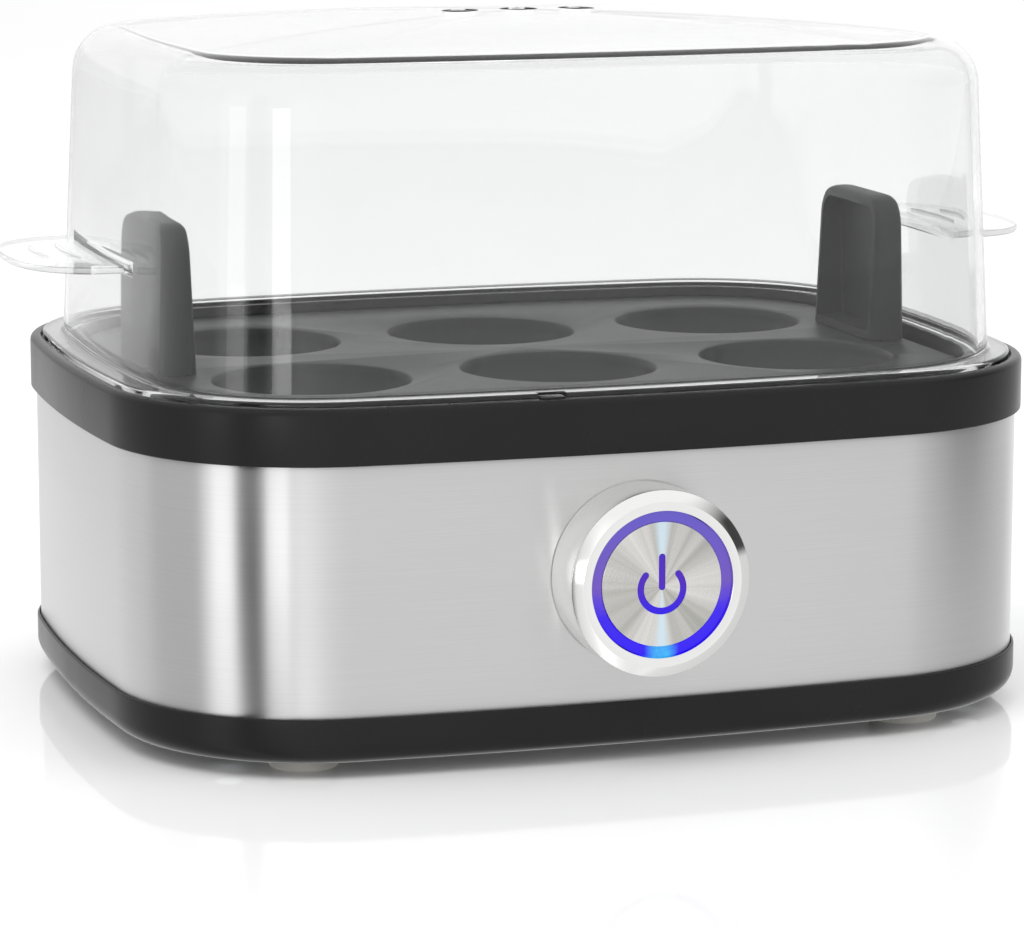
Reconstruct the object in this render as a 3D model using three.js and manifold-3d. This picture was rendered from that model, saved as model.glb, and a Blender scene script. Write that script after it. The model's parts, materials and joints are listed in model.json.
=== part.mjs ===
// Electric egg boiler for six: black base and rim, brushed steel sleeve, lit push button,
// lift-out tray with two handles and a clear lid. Millimetres, +Z up, front towards -Y.
import * as THREE from 'three';
import { mergeVertices } from 'three/addons/utils/BufferGeometryUtils.js';
import Module from 'manifold-3d';

const wasm = await Module();
wasm.setup();

// Plan of the body: a rectangle with slightly bowed sides and round corners, at the rim's outer face
const bodyWidth = 200;
const bodyDepth = 157.6;
const cornerRadius = 43.5;
const frontBow = 2.1;
const endBow = 1.4;

// Heights of the bands, from the surface it stands on
const footReach = 2.8;
const baseBand = 9.6;
const sleeveHeight = 50.4;
const rimBand = 11.4;

// Clearances
const restGap = 0.3;
const slideGap = 0.4;
const assemblyGap = 1;
const cutOverrun = 1;

// Base moulding
const baseInset = 0.4;
const baseRound = 4;
const baseWall = 2;
const baseFloor = 2.5;

// Steel sleeve and the grooves that hold its two edges
const sleeveInset = 1.2;
const sleeveSheet = 0.8;
const grooveDepth = 1.5;

// Rim moulding with the water well
const rimRound = 1.2;
const rimLand = 1.1;
const lidSeatDrop = 1.2;
const rimTopWall = 2;
const wellWall = 2;
const beadInset = 10.4;
const beadWidth = 1.6;
const beadHeight = 1.4;
const wellInset = 12.4;
const wellLedge = 2.8;
const wellLowerInset = 24;
const wellSlopeTop = 57;
const wellSlopeFoot = 47;
const wellFloorTop = 44.5;
const postRadius = 3.7;
const postInset = 8.3;
const keyWidth = 5;
const keyDepth = 2;
const keyHeight = 1.6;
const keyOffCentre = 18;

// Heating plate, clamped to the well floor with its seal
const plateMargin = 4.8;
const plateLap = 4;
const plateBowlDepth = 4.5;
const plateSheet = 1.5;
const plateSlope = 4;
const sealHeight = 1.2;
const sealWidth = 3;
const studRadius = 1.6;
const studSpare = 1;
const elementInset = 12;
const elementRadius = 3;
const elementLegX = 4.5;
const elementLegDrop = 10;
const elementBend = 5;
const bracketSheet = 1.2;
const bracketLap = 3;
const bracketSlot = 4;
const nutRadius = 3.2;
const nutHeight = 2.4;

// Thermostat and thermal fuse under the plate
const thermostatRadius = 8;
const thermostatHeight = 10;
const thermostatEarLength = 34;
const thermostatEarWidth = 11;
const thermostatEarSheet = 1.5;
const thermostatScrewSpread = 26;
const bladeWidth = 6.3;
const bladeSheet = 0.8;
const bladeLength = 7;
const bladeSpread = 7;
const fuseRadius = 2.2;
const fuseLength = 12;
const fuseX = 15;
const fuseY = 13;

// Fasteners
const smallScrewRadius = 1.3;
const smallScrewHead = 2.6;
const smallScrewHeadHeight = 1.6;
const housingScrewRadius = 1.5;
const housingScrewHead = 3;
const housingScrewHeadHeight = 1.4;
const housingScrewLength = 14;

// Feet
const footRadius = 7;
const footEdge = 0.5;
const footPlugRadius = 4;
const footPlugHeight = 1.3;
const footInsetX = 35;
const footInsetY = 18.8;

// Push button in its chrome bezel
const buttonRise = 0.8;
const bezelRadius = 18.75;
const bezelReach = 13;
const bezelBevel = 2.2;
const bezelBevelDepth = 1.4;
const bezelStep = 1.6;
const neckLength = 9.3;
const neckWall = 1.4;
const bezelNutLap = 3.2;
const bezelNutThickness = 4;
const lightRingRadius = 14.5;
const lightRingWidth = 1.85;
const lightRingThickness = 2.8;
const buttonSink = 0.6;
const buttonTravel = 2.5;
const discThickness = 1.2;
const symbolPlateRadius = 7;
const symbolPlateThickness = 0.8;
const symbolArcRadius = 4.45;
const symbolStroke = 1.25;
const symbolBarLength = 7.1;
const symbolDrop = 0.9;
const symbolCutGap = 0.2;
const symbolGapAngle = 0.87;
const plungerThickness = 2.6;
const plungerSkirt = 4;
const plungerSkirtWall = 1.4;
const plungerLip = 0.9;
const plungerLipWidth = 1;
const pinRadius = 1.9;
const pinReach = 6;
const springRadius = 4.6;
const springWire = 0.45;
const springTurns = 5;

// Switch behind the button
const switchDiscThickness = 3.4;
const switchDiscInset = 1.1;
const switchBoxWidth = 18;
const switchBoxHeight = 15.6;
const switchBoxDepth = 14;
const switchBladeLength = 6;
const boardThickness = 1.2;
const boardBore = 7;
const lampWidth = 3;
const lampDepth = 1.2;
const lampCount = 4;

// Cord inlet at the back, and the terminal block inside
const glandBore = 3.4;
const glandWall = 1.7;
const glandFlange = 2.5;
const glandFlangeThickness = 2;
const glandNutLap = 3;
const glandNutThickness = 4;
const blockLength = 30;
const blockWidth = 16;
const blockHeight = 12;
const blockX = -32;
const blockY = 30;
const blockWays = 3;
const blockWayRadius = 2.2;
const blockScrewDepth = 3;

// Leads inside the housing
const leadRadius = 1.1;
const leadSides = 5;
const leadSpacing = 8;
const leadRun = 6;
const leadSag = 5;
const leadRise = 8;

// Tray
const deckDrop = 1.9;
const deckSheet = 1.8;
const trayEdgeHeight = 5;
const trayWall = 1.6;
const seatEndLand = 1.05;
const seatSideLand = 19.1;
const seatColumns = 3;
const seatRows = 2;
const seatTopRadius = 20.5;
const seatHoleRadius = 15;
const seatDepth = 10;
const seatWall = 1.6;
const handleInset = 17.2;
const handleWidth = 33;
const handleHeight = 31.4;
const handleTopThickness = 6;
const handleDraftInside = 1.4;
const handleDraftOutside = 0.9;
const handleCorner = 6.5;
const handleEdge = 1.6;
const handleWeb = 1.8;
const handleSide = 2.3;
const handleFloorRise = 2;
const handleTabWidth = 3.2;
const handleTabSheet = 1.4;
const handleTabHook = 0.7;
const handleTabHookHeight = 1.4;

// Lid
const lidSheet = 1.8;
const lidFlangeInset = 2.7;
const lidFlangeThickness = 1.9;
const lidWallInset = 7.2;
const lidWallTaper = 3.4;
const lidHeight = 65.7;
const lidShoulder = 10;
const lidDomeRise = 4.2;
const lidHandleLevel = 22;
const lidHandleThickness = 1.5;
const lidHandleReach = 18.8;
const lidHandleHalfWidth = 27;
const lidHandleCorner = 15;
const lidHandleRoot = 3;
const gripRibHeight = 0.5;
const gripRibWidth = 1.2;
const gripRibBow = 1.3;
const gripRibInset = 6;
const gripRibPitch = 6;
const gripRibLengths = [18, 25];
const ventRadius = 3.8;
const ventPitch = 13;
const ventCount = 3;

// Steps that round shapes are divided into
const sideSteps = 3;
const cornerSteps = 6;
const roundSteps = 28;
const seatSteps = 20;
const footSteps = 16;
const smallSteps = 8;
const arcSteps = 3;
const elementSteps = 18;
const domeShares = [0.75, 0.5, 0.25];

// Levels worked out from the bands
const baseBottom = footReach;
const floorTop = baseBottom + baseFloor;
const sleeveBottom = baseBottom + baseBand;
const sleeveTop = sleeveBottom + sleeveHeight;
const rimTop = sleeveTop + rimBand;
const lidSeat = rimTop - lidSeatDrop;
const rimUnderside = lidSeat - rimTopWall;
const wellFloorUnderside = wellFloorTop - wellWall;
const deckHeight = rimTop - deckDrop;
const trayLedge = deckHeight - trayEdgeHeight - restGap;
const buttonHeight = sleeveBottom + sleeveHeight / 2 + buttonRise;
const plateHoleRadius = bodyDepth / 2 - wellLowerInset - plateMargin - plateLap;
const footX = bodyWidth / 2 - footInsetX;
const footY = bodyDepth / 2 - footInsetY;
const neckRadius = bezelRadius - bezelStep;
const bezelNutRadius = neckRadius + bezelNutLap;
const upstandTop = buttonHeight - bezelNutRadius - assemblyGap;
const skirtBottom = buttonHeight + bezelNutRadius + assemblyGap;
const glandRadius = glandBore + glandWall;
const inletHeight = upstandTop + glandRadius + glandNutLap + assemblyGap;

// Sections worked out from the sleeve: both grooves are a groove gap wider than the sheet
const sleeveInner = sleeveInset + sleeveSheet;
const grooveOuter = sleeveInset - restGap;
const grooveInner = sleeveInner + restGap;
const innerWallFace = grooveInner + baseWall;
const housingScrewSeat = baseBottom + housingScrewHeadHeight;
const grooveFloor = sleeveBottom - grooveDepth - restGap;
const grooveRoof = sleeveTop + grooveDepth + restGap;

// Places along Y on the centre line
const sleeveFrontY = -bodyDepth / 2 + sleeveInset;
const sleeveBackY = -sleeveFrontY;
const bezelFrontY = sleeveFrontY - bezelReach;
const glandBackY = sleeveBackY + restGap + glandFlangeThickness;

const halfTurn = Math.PI;
const quarterTurn = Math.PI / 2;
const planSteps = 4 * (sideSteps + cornerSteps);

// Solids from three.js geometry, and back again after the cuts and joins
function solid(geometry) {
  geometry.deleteAttribute('normal');
  geometry.deleteAttribute('uv');
  const merged = mergeVertices(geometry);
  const corners = merged.index.array;
  const kept = [];
  for (let at = 0; at < corners.length; at += 3) {
    const [a, b, c] = corners.slice(at, at + 3);
    if (a !== b && b !== c && c !== a) {
      kept.push(a, b, c);
    }
  }
  const vertProperties = new Float32Array(merged.attributes.position.array);
  return new wasm.Manifold(new wasm.Mesh({ numProp: 3, vertProperties, triVerts: new Uint32Array(kept) }));
}

function joined(first, ...others) {
  return others.reduce((whole, other) => whole.add(other), first);
}

function cut(whole, ...tools) {
  return tools.reduce((left, tool) => left.subtract(tool), whole);
}

function geometryOf(shape) {
  const mesh = shape.getMesh();
  const geometry = new THREE.BufferGeometry();
  geometry.setAttribute('position', new THREE.BufferAttribute(new Float32Array(mesh.vertProperties), 3));
  geometry.setIndex(new THREE.BufferAttribute(new Uint32Array(mesh.triVerts), 1));
  geometry.computeVertexNormals();
  return geometry;
}

// The plan's outline, moved outwards by an offset: a bowed side and a corner arc, four times round
function planOutline(offset) {
  const halfLong = bodyWidth / 2 - cornerRadius - endBow;
  const halfShort = bodyDepth / 2 - cornerRadius - frontBow;
  const sides = [
    { along: halfLong, out: halfShort, bow: frontBow, corner: [halfLong, -halfShort] },
    { along: halfShort, out: halfLong, bow: endBow, corner: [halfLong, halfShort] },
    { along: halfLong, out: halfShort, bow: frontBow, corner: [-halfLong, halfShort] },
    { along: halfShort, out: halfLong, bow: endBow, corner: [-halfLong, -halfShort] },
  ];
  for (const side of sides) {
    side.bowRadius = (side.along ** 2 + side.bow ** 2) / (2 * side.bow);
    side.spread = Math.asin(side.along / side.bowRadius);
  }
  const points = [];
  sides.forEach((side, number) => {
    const facing = (number - 1) * quarterTurn;
    const next = sides[(number + 1) % sides.length];
    const back = side.out + side.bow - side.bowRadius;
    const sideRadius = side.bowRadius + cornerRadius + offset;
    const centre = [Math.cos(facing) * back, Math.sin(facing) * back];
    const sideArc = arcCurve(centre, sideRadius, facing - side.spread, facing + side.spread);
    const cornerEnd = facing + quarterTurn - next.spread;
    const cornerArc = arcCurve(side.corner, cornerRadius + offset, facing + side.spread, cornerEnd);
    points.push(...sideArc.getPoints(sideSteps).slice(0, -1));
    points.push(...cornerArc.getPoints(cornerSteps).slice(0, -1));
  });
  return points;
}

function arcCurve([x, y], radius, start, end) {
  return new THREE.EllipseCurve(x, y, radius, radius, start, end);
}

// A solid whose section is a list of rings, each [offset, height, share]: the plan's outline moved
// outwards by the offset and drawn in towards the centre by the share, where 0 is the centre line
function ringed(rings) {
  const profile = rings.map(([, height, share = 1]) => new THREE.Vector2(share, height));
  const geometry = new THREE.LatheGeometry(profile, planSteps);
  const places = geometry.attributes.position;
  rings.forEach(([offset, height, share = 1], row) => {
    const outline = planOutline(offset);
    for (let step = 0; step <= planSteps; step += 1) {
      const point = outline[step % planSteps];
      places.setXYZ(step * rings.length + row, point.x * share, point.y * share, height);
    }
  });
  return solid(geometry);
}

// A solid turned about Z, from a profile of [radius, height]
function turned(profile, steps = smallSteps) {
  const points = profile.map(([radius, height]) => new THREE.Vector2(radius, height));
  return solid(new THREE.LatheGeometry(points, steps).rotateX(quarterTurn));
}

// A solid turned about the button's axis, from a profile of [radius, y]
function turnedOnButton(profile, steps = roundSteps) {
  const points = profile.map(([radius, y]) => new THREE.Vector2(radius, y));
  return solid(new THREE.LatheGeometry(points, steps)).translate(0, 0, buttonHeight);
}

function upright(radius, low, high, steps = smallSteps) {
  return turned([[0, low], [radius, low], [radius, high], [0, high]], steps);
}

// A cylinder along Y through [x, z]
function across(radius, nearY, farY, x, z, steps = smallSteps) {
  const cylinder = new THREE.CylinderGeometry(radius, radius, farY - nearY, steps);
  return solid(cylinder.translate(x, (nearY + farY) / 2, z));
}

function block(lowX, highX, lowY, highY, lowZ, highZ) {
  const box = new THREE.BoxGeometry(highX - lowX, highY - lowY, highZ - lowZ);
  return solid(box.translate((lowX + highX) / 2, (lowY + highY) / 2, (lowZ + highZ) / 2));
}

// A tube of round section along a curve
function tube(curve, radius, sides, steps) {
  const section = new THREE.Shape(arcCurve([0, 0], radius, 0, 2 * halfTurn).getPoints(sides).slice(0, -1));
  return solid(new THREE.ExtrudeGeometry(section, { steps, extrudePath: curve, bevelEnabled: false }));
}

// A flat shape in the XY plane, raised from low to high
function raised(shape, low, high, steps = smallSteps) {
  const extruded = new THREE.ExtrudeGeometry(shape, {
    depth: high - low,
    bevelEnabled: false,
    curveSegments: steps,
  });
  return solid(extruded.translate(0, 0, low));
}

// Points of a quarter circle, from the angle start onwards, about a centre
function quarterArc([x, z], radius, start, steps = arcSteps) {
  return arcCurve([x, z], radius, start, start + quarterTurn)
    .getPoints(steps)
    .map((point) => [point.x, point.y]);
}

// The four places with the same distances from both centre lines
function fourCorners(x, y) {
  return [[-x, -y], [x, -y], [-x, y], [x, y]];
}

// How far the screw posts in the corners stand from both centre lines
function postPlace() {
  const halfLong = bodyWidth / 2 - cornerRadius - endBow;
  const halfShort = bodyDepth / 2 - cornerRadius - frontBow;
  const diagonal = (cornerRadius - postInset) * Math.SQRT1_2;
  return [halfLong + diagonal, halfShort + diagonal];
}

// Base moulding: floor, curved lower edge, groove for the sleeve and an upstand inside it
function lowerHousing() {
  const lowerEdge = quarterArc([-baseInset - baseRound, baseBottom + baseRound], baseRound, -quarterTurn);
  const shell = ringed([
    [0, baseBottom, 0],
    ...lowerEdge,
    [-baseInset, sleeveBottom],
    [-grooveOuter, sleeveBottom],
    [-grooveOuter, grooveFloor],
    [-grooveInner, grooveFloor],
    [-grooveInner, upstandTop],
    [-innerWallFace, upstandTop],
    [-innerWallFace, floorTop],
    [0, floorTop, 0],
  ]);
  const tools = [];
  for (const [x, y] of fourCorners(footX, footY)) {
    const socketTop = baseBottom + footPlugHeight + restGap;
    const socket = upright(footPlugRadius + restGap, baseBottom - cutOverrun, socketTop, footSteps);
    tools.push(socket.translate(x, y, 0));
  }
  for (const [x, y] of fourCorners(...postPlace())) {
    const low = baseBottom - cutOverrun;
    tools.push(
      upright(housingScrewRadius + restGap, low, floorTop + cutOverrun).translate(x, y, 0),
      upright(housingScrewHead + restGap, low, housingScrewSeat + restGap).translate(x, y, 0),
    );
  }
  return cut(shell, ...tools);
}

function steelSleeve() {
  const low = sleeveBottom - grooveDepth;
  const high = sleeveTop + grooveDepth;
  const band = ringed([
    [-sleeveInner, low],
    [-sleeveInset, low],
    [-sleeveInset, high],
    [-sleeveInner, high],
    [-sleeveInner, low],
  ]);
  const frontHole = across(neckRadius + restGap, sleeveFrontY - cutOverrun, 0, 0, buttonHeight, roundSteps);
  const backHole = across(glandRadius + restGap, 0, sleeveBackY + cutOverrun, 0, inletHeight, seatSteps);
  return cut(band, frontHole, backHole);
}

// Rim moulding: outer band, seat for the lid, locating bead, well wall with the tray's ledge, sloped
// well and floor, a groove for the sleeve below and four screw posts
function rimSection() {
  const outerEdge = quarterArc([-rimRound, rimTop - rimRound], rimRound, 0);
  const seatStart = rimRound + rimLand;
  const beadTop = lidSeat + beadHeight;
  const beadInner = beadInset + beadWidth;
  const ledgeInset = wellInset + wellLedge;
  const wallBack = ledgeInset - wellWall;
  const lowerBack = wellLowerInset - wellWall;
  return [
    [0, wellFloorUnderside, 0],
    [-lowerBack, wellFloorUnderside],
    [-lowerBack, wellSlopeFoot],
    [-wallBack, wellSlopeTop],
    [-wallBack, trayLedge - wellWall],
    [-wellInset + wellWall, trayLedge - wellWall],
    [-wellInset + wellWall, rimUnderside],
    [-innerWallFace, rimUnderside],
    [-innerWallFace, skirtBottom],
    [-grooveInner, skirtBottom],
    [-grooveInner, grooveRoof],
    [-grooveOuter, grooveRoof],
    [-grooveOuter, sleeveTop],
    [0, sleeveTop],
    ...outerEdge,
    [-seatStart, rimTop],
    [-seatStart, lidSeat],
    [-beadInset, lidSeat],
    [-beadInset, beadTop],
    [-beadInner, beadTop],
    [-wellInset, lidSeat],
    [-wellInset, trayLedge],
    [-ledgeInset, trayLedge],
    [-ledgeInset, wellSlopeTop],
    [-wellLowerInset, wellSlopeFoot],
    [-wellLowerInset, wellFloorTop],
    [0, wellFloorTop, 0],
  ];
}

function lidKeyPlace() {
  return { x: -keyOffCentre, y: -bodyDepth / 2 + rimRound + rimLand };
}

function rimHousing() {
  const key = lidKeyPlace();
  const keyBack = key.y + keyDepth;
  const keyBlock = block(
    key.x - keyWidth / 2,
    key.x + keyWidth / 2,
    key.y - rimLand / 2,
    keyBack,
    lidSeat - rimTopWall / 2,
    lidSeat + keyHeight,
  );
  let shell = joined(ringed(rimSection()), keyBlock);
  const holeFoot = wellFloorUnderside - cutOverrun;
  const tools = [upright(plateHoleRadius, holeFoot, wellFloorTop + cutOverrun, roundSteps)];
  for (const [x, y] of fourCorners(...postPlace())) {
    const postFoot = floorTop + restGap;
    const pilotTop = postFoot + housingScrewLength;
    const middle = (rimUnderside + lidSeat) / 2;
    shell = joined(shell, upright(postRadius, postFoot, middle).translate(x, y, 0));
    tools.push(upright(housingScrewRadius + restGap, postFoot - cutOverrun, pilotTop).translate(x, y, 0));
  }
  return cut(shell, ...tools);
}

// Heating plate: a shallow bowl whose flange laps the well floor, with welded studs below
const elementCircle = plateHoleRadius - elementInset;
const studCircle = (thermostatRadius + elementCircle - elementRadius) / 2;
const plateFlangeRadius = plateHoleRadius + plateLap;
const sealBottom = wellFloorTop + restGap;
const flangeBottom = sealBottom + sealHeight + restGap;
const flangeTop = flangeBottom + plateSheet;
const plateTop = flangeTop - plateBowlDepth;
const plateUnderside = plateTop - plateSheet;
const elementHeight = plateUnderside - restGap - elementRadius;
const bracketTop = elementHeight - elementRadius - restGap;
const bracketBottom = bracketTop - bracketSheet;
const nutTop = bracketBottom - restGap;
const studFoot = nutTop - nutHeight - studSpare;

function studPlaces() {
  return [[0, studCircle], [0, -studCircle]];
}

function heatingPlate() {
  const wallOuter = plateHoleRadius - assemblyGap;
  const flatOuter = wallOuter - plateSlope;
  const bowl = turned([
    [0, plateUnderside],
    [flatOuter, plateUnderside],
    [wallOuter, plateUnderside + plateSlope / 2],
    [wallOuter, flangeBottom],
    [plateFlangeRadius, flangeBottom],
    [plateFlangeRadius, flangeTop],
    [wallOuter - plateSheet, flangeTop],
    [wallOuter - plateSheet, plateTop + plateSlope / 2],
    [flatOuter - plateSheet / 2, plateTop],
    [0, plateTop],
  ], roundSteps);
  const studs = studPlaces().map(([x, y]) => (
    upright(studRadius, studFoot, plateUnderside + plateSheet / 2).translate(x, y, 0)
  ));
  return joined(bowl, ...studs);
}

function plateSeal() {
  const inner = plateHoleRadius + assemblyGap / 2;
  return turned([
    [inner, sealBottom],
    [inner + sealWidth, sealBottom],
    [inner + sealWidth, sealBottom + sealHeight],
    [inner, sealBottom + sealHeight],
    [inner, sealBottom],
  ], roundSteps);
}

// Heating element: an open ring of tube under the plate, with both ends bent down at the back
function elementEndY() {
  return Math.sqrt(elementCircle ** 2 - (elementLegX + elementBend) ** 2);
}

function elementLeg(side) {
  const bendX = elementLegX + elementBend * (1 - Math.SQRT1_2);
  const bendDrop = elementBend * (1 - Math.SQRT1_2);
  return [
    [elementLegX, elementLegDrop],
    [elementLegX, elementBend],
    [bendX, bendDrop],
  ].map(([x, drop]) => new THREE.Vector3(side * x, elementEndY(), elementHeight - drop));
}

function heatingElement() {
  const endAngle = Math.asin((elementLegX + elementBend) / elementCircle);
  const ring = arcCurve([0, 0], elementCircle, quarterTurn + endAngle, quarterTurn + 2 * halfTurn - endAngle);
  const ringPoints = ring.getPoints(elementSteps).map((point) => (
    new THREE.Vector3(point.x, point.y, elementHeight)
  ));
  const points = [...elementLeg(-1), ...ringPoints, ...elementLeg(1).reverse()];
  const curve = new THREE.CatmullRomCurve3(points, false, 'centripetal');
  return tube(curve, elementRadius, 8, 2 * elementSteps);
}

// Bracket: a dished steel disc that holds the element up and clamps the plate to the well floor
function elementBracket() {
  const rimTopLevel = wellFloorUnderside - restGap;
  const wall = plateHoleRadius - assemblyGap;
  const outer = plateHoleRadius + bracketLap;
  const dish = turned([
    [thermostatRadius + restGap, bracketBottom],
    [wall, bracketBottom],
    [wall, rimTopLevel - bracketSheet],
    [outer, rimTopLevel - bracketSheet],
    [outer, rimTopLevel],
    [wall - bracketSheet, rimTopLevel],
    [wall - bracketSheet, bracketTop],
    [thermostatRadius + restGap, bracketTop],
    [thermostatRadius + restGap, bracketBottom],
  ], roundSteps);
  const low = bracketBottom - cutOverrun;
  const high = bracketTop + cutOverrun;
  const tools = studPlaces().map(([x, y]) => upright(studRadius + restGap, low, high).translate(x, y, 0));
  for (const side of [-1, 1]) {
    const screwHole = upright(smallScrewRadius + restGap, low, high);
    tools.push(screwHole.translate((side * thermostatScrewSpread) / 2, 0, 0));
  }
  const slotHalf = elementLegX + elementRadius + bracketSlot / 2;
  tools.push(block(
    -slotHalf,
    slotHalf,
    elementEndY() - elementRadius - bracketSlot / 2,
    elementEndY() + elementRadius + bracketSlot / 2,
    low,
    high,
  ));
  return cut(dish, ...tools);
}

function hexNut(bore, radius, top, height) {
  return turned([
    [bore, top - height],
    [radius, top - height],
    [radius, top],
    [bore, top],
    [bore, top - height],
  ], 6);
}

// A screw driven upwards from below: pan head under a shank
function screwUp(head, headHeight, shank, length, seat) {
  return turned([
    [0, seat - headHeight],
    [head, seat - headHeight],
    [head, seat],
    [shank, seat],
    [shank, seat + length],
    [0, seat + length],
  ]);
}

// Thermostat: a round body that touches the plate, with two ears and two blade terminals
const earTop = bracketBottom - restGap;
const fuseHeight = bracketBottom - restGap - fuseRadius;
const thermostatTop = plateUnderside - restGap;
const thermostatBottom = thermostatTop - thermostatHeight;

function thermostat() {
  const body = upright(thermostatRadius, thermostatBottom, thermostatTop, seatSteps);
  const ears = block(
    -thermostatEarLength / 2,
    thermostatEarLength / 2,
    -thermostatEarWidth / 2,
    thermostatEarWidth / 2,
    earTop - thermostatEarSheet,
    earTop,
  );
  const blades = [-1, 1].map((side) => block(
    -bladeWidth / 2,
    bladeWidth / 2,
    (side * bladeSpread) / 2 - bladeSheet / 2,
    (side * bladeSpread) / 2 + bladeSheet / 2,
    thermostatBottom - bladeLength,
    thermostatBottom + bladeSheet,
  ));
  const holes = [-1, 1].map((side) => (
    upright(smallScrewRadius + restGap, earTop - thermostatEarSheet - cutOverrun, earTop + cutOverrun)
      .translate((side * thermostatScrewSpread) / 2, 0, 0)
  ));
  return cut(joined(body, ears, ...blades), ...holes);
}

function thermalFuse() {
  const capsule = new THREE.CapsuleGeometry(fuseRadius, fuseLength, 3, smallSteps);
  return solid(capsule.rotateZ(quarterTurn).translate(fuseX, fuseY, fuseHeight));
}

// Chrome bezel: a bevelled face, the bore of the button, and a threaded neck through the sleeve
const bezelBore = lightRingRadius + slideGap - restGap / 2;
const neckBore = neckRadius - neckWall;
const bezelBackY = sleeveFrontY - restGap;
const neckEndY = sleeveFrontY + neckLength;
const sleeveInnerFrontY = sleeveFrontY + sleeveSheet;
const buttonFaceY = bezelFrontY + buttonSink;
const ringBackY = buttonFaceY + lightRingThickness;
const plungerFaceY = ringBackY + restGap;
const plungerBackY = plungerFaceY + plungerThickness;
const lipBackY = plungerBackY + plungerSkirt;
const lipFrontY = lipBackY - plungerLipWidth;

function buttonBezel() {
  const boreStepY = lipFrontY - restGap;
  return turnedOnButton([
    [bezelBore, bezelFrontY],
    [bezelRadius - bezelBevel, bezelFrontY],
    [bezelRadius, bezelFrontY + bezelBevelDepth],
    [bezelRadius, bezelBackY],
    [neckRadius, bezelBackY],
    [neckRadius, neckEndY],
    [neckBore, neckEndY],
    [neckBore, boreStepY],
    [bezelBore, boreStepY],
    [bezelBore, bezelFrontY],
  ]);
}

function bezelNut() {
  const sleeveCurve = frontBow * (bezelNutRadius / (bodyWidth / 2 - cornerRadius)) ** 2;
  const nearY = sleeveInnerFrontY + sleeveCurve + restGap;
  return turnedOnButton([
    [neckRadius + restGap, nearY],
    [bezelNutRadius, nearY],
    [bezelNutRadius, nearY + bezelNutThickness],
    [neckRadius + restGap, nearY + bezelNutThickness],
    [neckRadius + restGap, nearY],
  ], seatSteps);
}

function lightRing() {
  const inner = lightRingRadius - lightRingWidth;
  return turnedOnButton([
    [inner, buttonFaceY],
    [lightRingRadius, buttonFaceY],
    [lightRingRadius, ringBackY],
    [inner, ringBackY],
    [inner, buttonFaceY],
  ]);
}

// The power symbol: an open arc and a bar, drawn on the button's face and grown by an allowance
const symbolHeight = buttonHeight - symbolDrop;

function symbolSolids(grow, nearY, farY) {
  const half = symbolStroke / 2 + grow;
  const start = quarterTurn + symbolGapAngle;
  const end = quarterTurn + 2 * halfTurn - symbolGapAngle;
  const shape = new THREE.Shape();
  shape.absarc(0, 0, symbolArcRadius + half, start, end, false);
  shape.absarc(0, 0, symbolArcRadius - half, end, start, true);
  shape.closePath();
  const options = { depth: farY - nearY, bevelEnabled: false, curveSegments: footSteps };
  const arc = new THREE.ExtrudeGeometry(shape, options);
  const placed = arc.rotateX(quarterTurn).translate(0, farY, symbolHeight);
  const bar = block(-half, half, nearY, farY, symbolHeight - grow, symbolHeight + symbolBarLength + grow);
  return [solid(placed), bar];
}

const discRadius = lightRingRadius - lightRingWidth - restGap / 2;
const discBackY = buttonFaceY + discThickness;
const symbolPlateY = discBackY + restGap;

function buttonDisc() {
  const disc = across(discRadius, buttonFaceY, discBackY, 0, buttonHeight, roundSteps);
  return cut(disc, ...symbolSolids(symbolCutGap, buttonFaceY - cutOverrun, discBackY + cutOverrun));
}

function powerSymbol() {
  const plate = across(
    symbolPlateRadius + symbolDrop,
    symbolPlateY,
    symbolPlateY + symbolPlateThickness,
    0,
    buttonHeight,
    seatSteps,
  );
  return joined(plate, ...symbolSolids(0, buttonFaceY, symbolPlateY + symbolPlateThickness / 2));
}

// Plunger: carries the disc, the symbol and the light ring, and runs in the bezel's bore
function buttonPlunger() {
  const outer = lightRingRadius;
  const symbolSeatRadius = symbolPlateRadius + symbolDrop + restGap;
  const symbolSeatY = symbolPlateY + symbolPlateThickness + restGap;
  const discSeatY = discBackY + restGap;
  const discSeatRadius = discRadius - restGap;
  const pinEndY = switchFaceY + pinReach;
  return turnedOnButton([
    [0, symbolSeatY],
    [symbolSeatRadius, symbolSeatY],
    [symbolSeatRadius, discSeatY],
    [discSeatRadius, discSeatY],
    [discSeatRadius, plungerFaceY],
    [outer, plungerFaceY],
    [outer, lipFrontY],
    [outer + plungerLip, lipFrontY],
    [outer + plungerLip, lipBackY],
    [outer - plungerSkirtWall, lipBackY],
    [outer - plungerSkirtWall, plungerBackY],
    [pinRadius, plungerBackY],
    [pinRadius, pinEndY],
    [0, pinEndY],
  ], seatSteps);
}

// Return spring round the plunger's pin, between the plunger and the switch
const switchFaceY = neckEndY + restGap;
const switchDiscBackY = switchFaceY + switchDiscThickness;
const switchBoxBackY = switchDiscBackY + switchBoxDepth;
const switchBoxTop = wellFloorUnderside - assemblyGap / 2;
const switchBladeX = switchBoxWidth / 4;
const switchBladeHeight = switchBoxTop - (3 * switchBoxHeight) / 4;

function buttonSpring() {
  const nearY = plungerBackY + restGap + springWire;
  const farY = switchFaceY - restGap - springWire;
  const points = [];
  const stepsPerTurn = 8;
  const count = springTurns * stepsPerTurn;
  for (let number = 0; number <= count; number += 1) {
    const angle = (number * 2 * halfTurn) / stepsPerTurn;
    const y = nearY + ((farY - nearY) * number) / count;
    const x = springRadius * Math.cos(angle);
    points.push(new THREE.Vector3(x, y, buttonHeight + springRadius * Math.sin(angle)));
  }
  const curve = new THREE.CatmullRomCurve3(points, false, 'centripetal');
  return tube(curve, springWire, 5, count);
}

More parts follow.
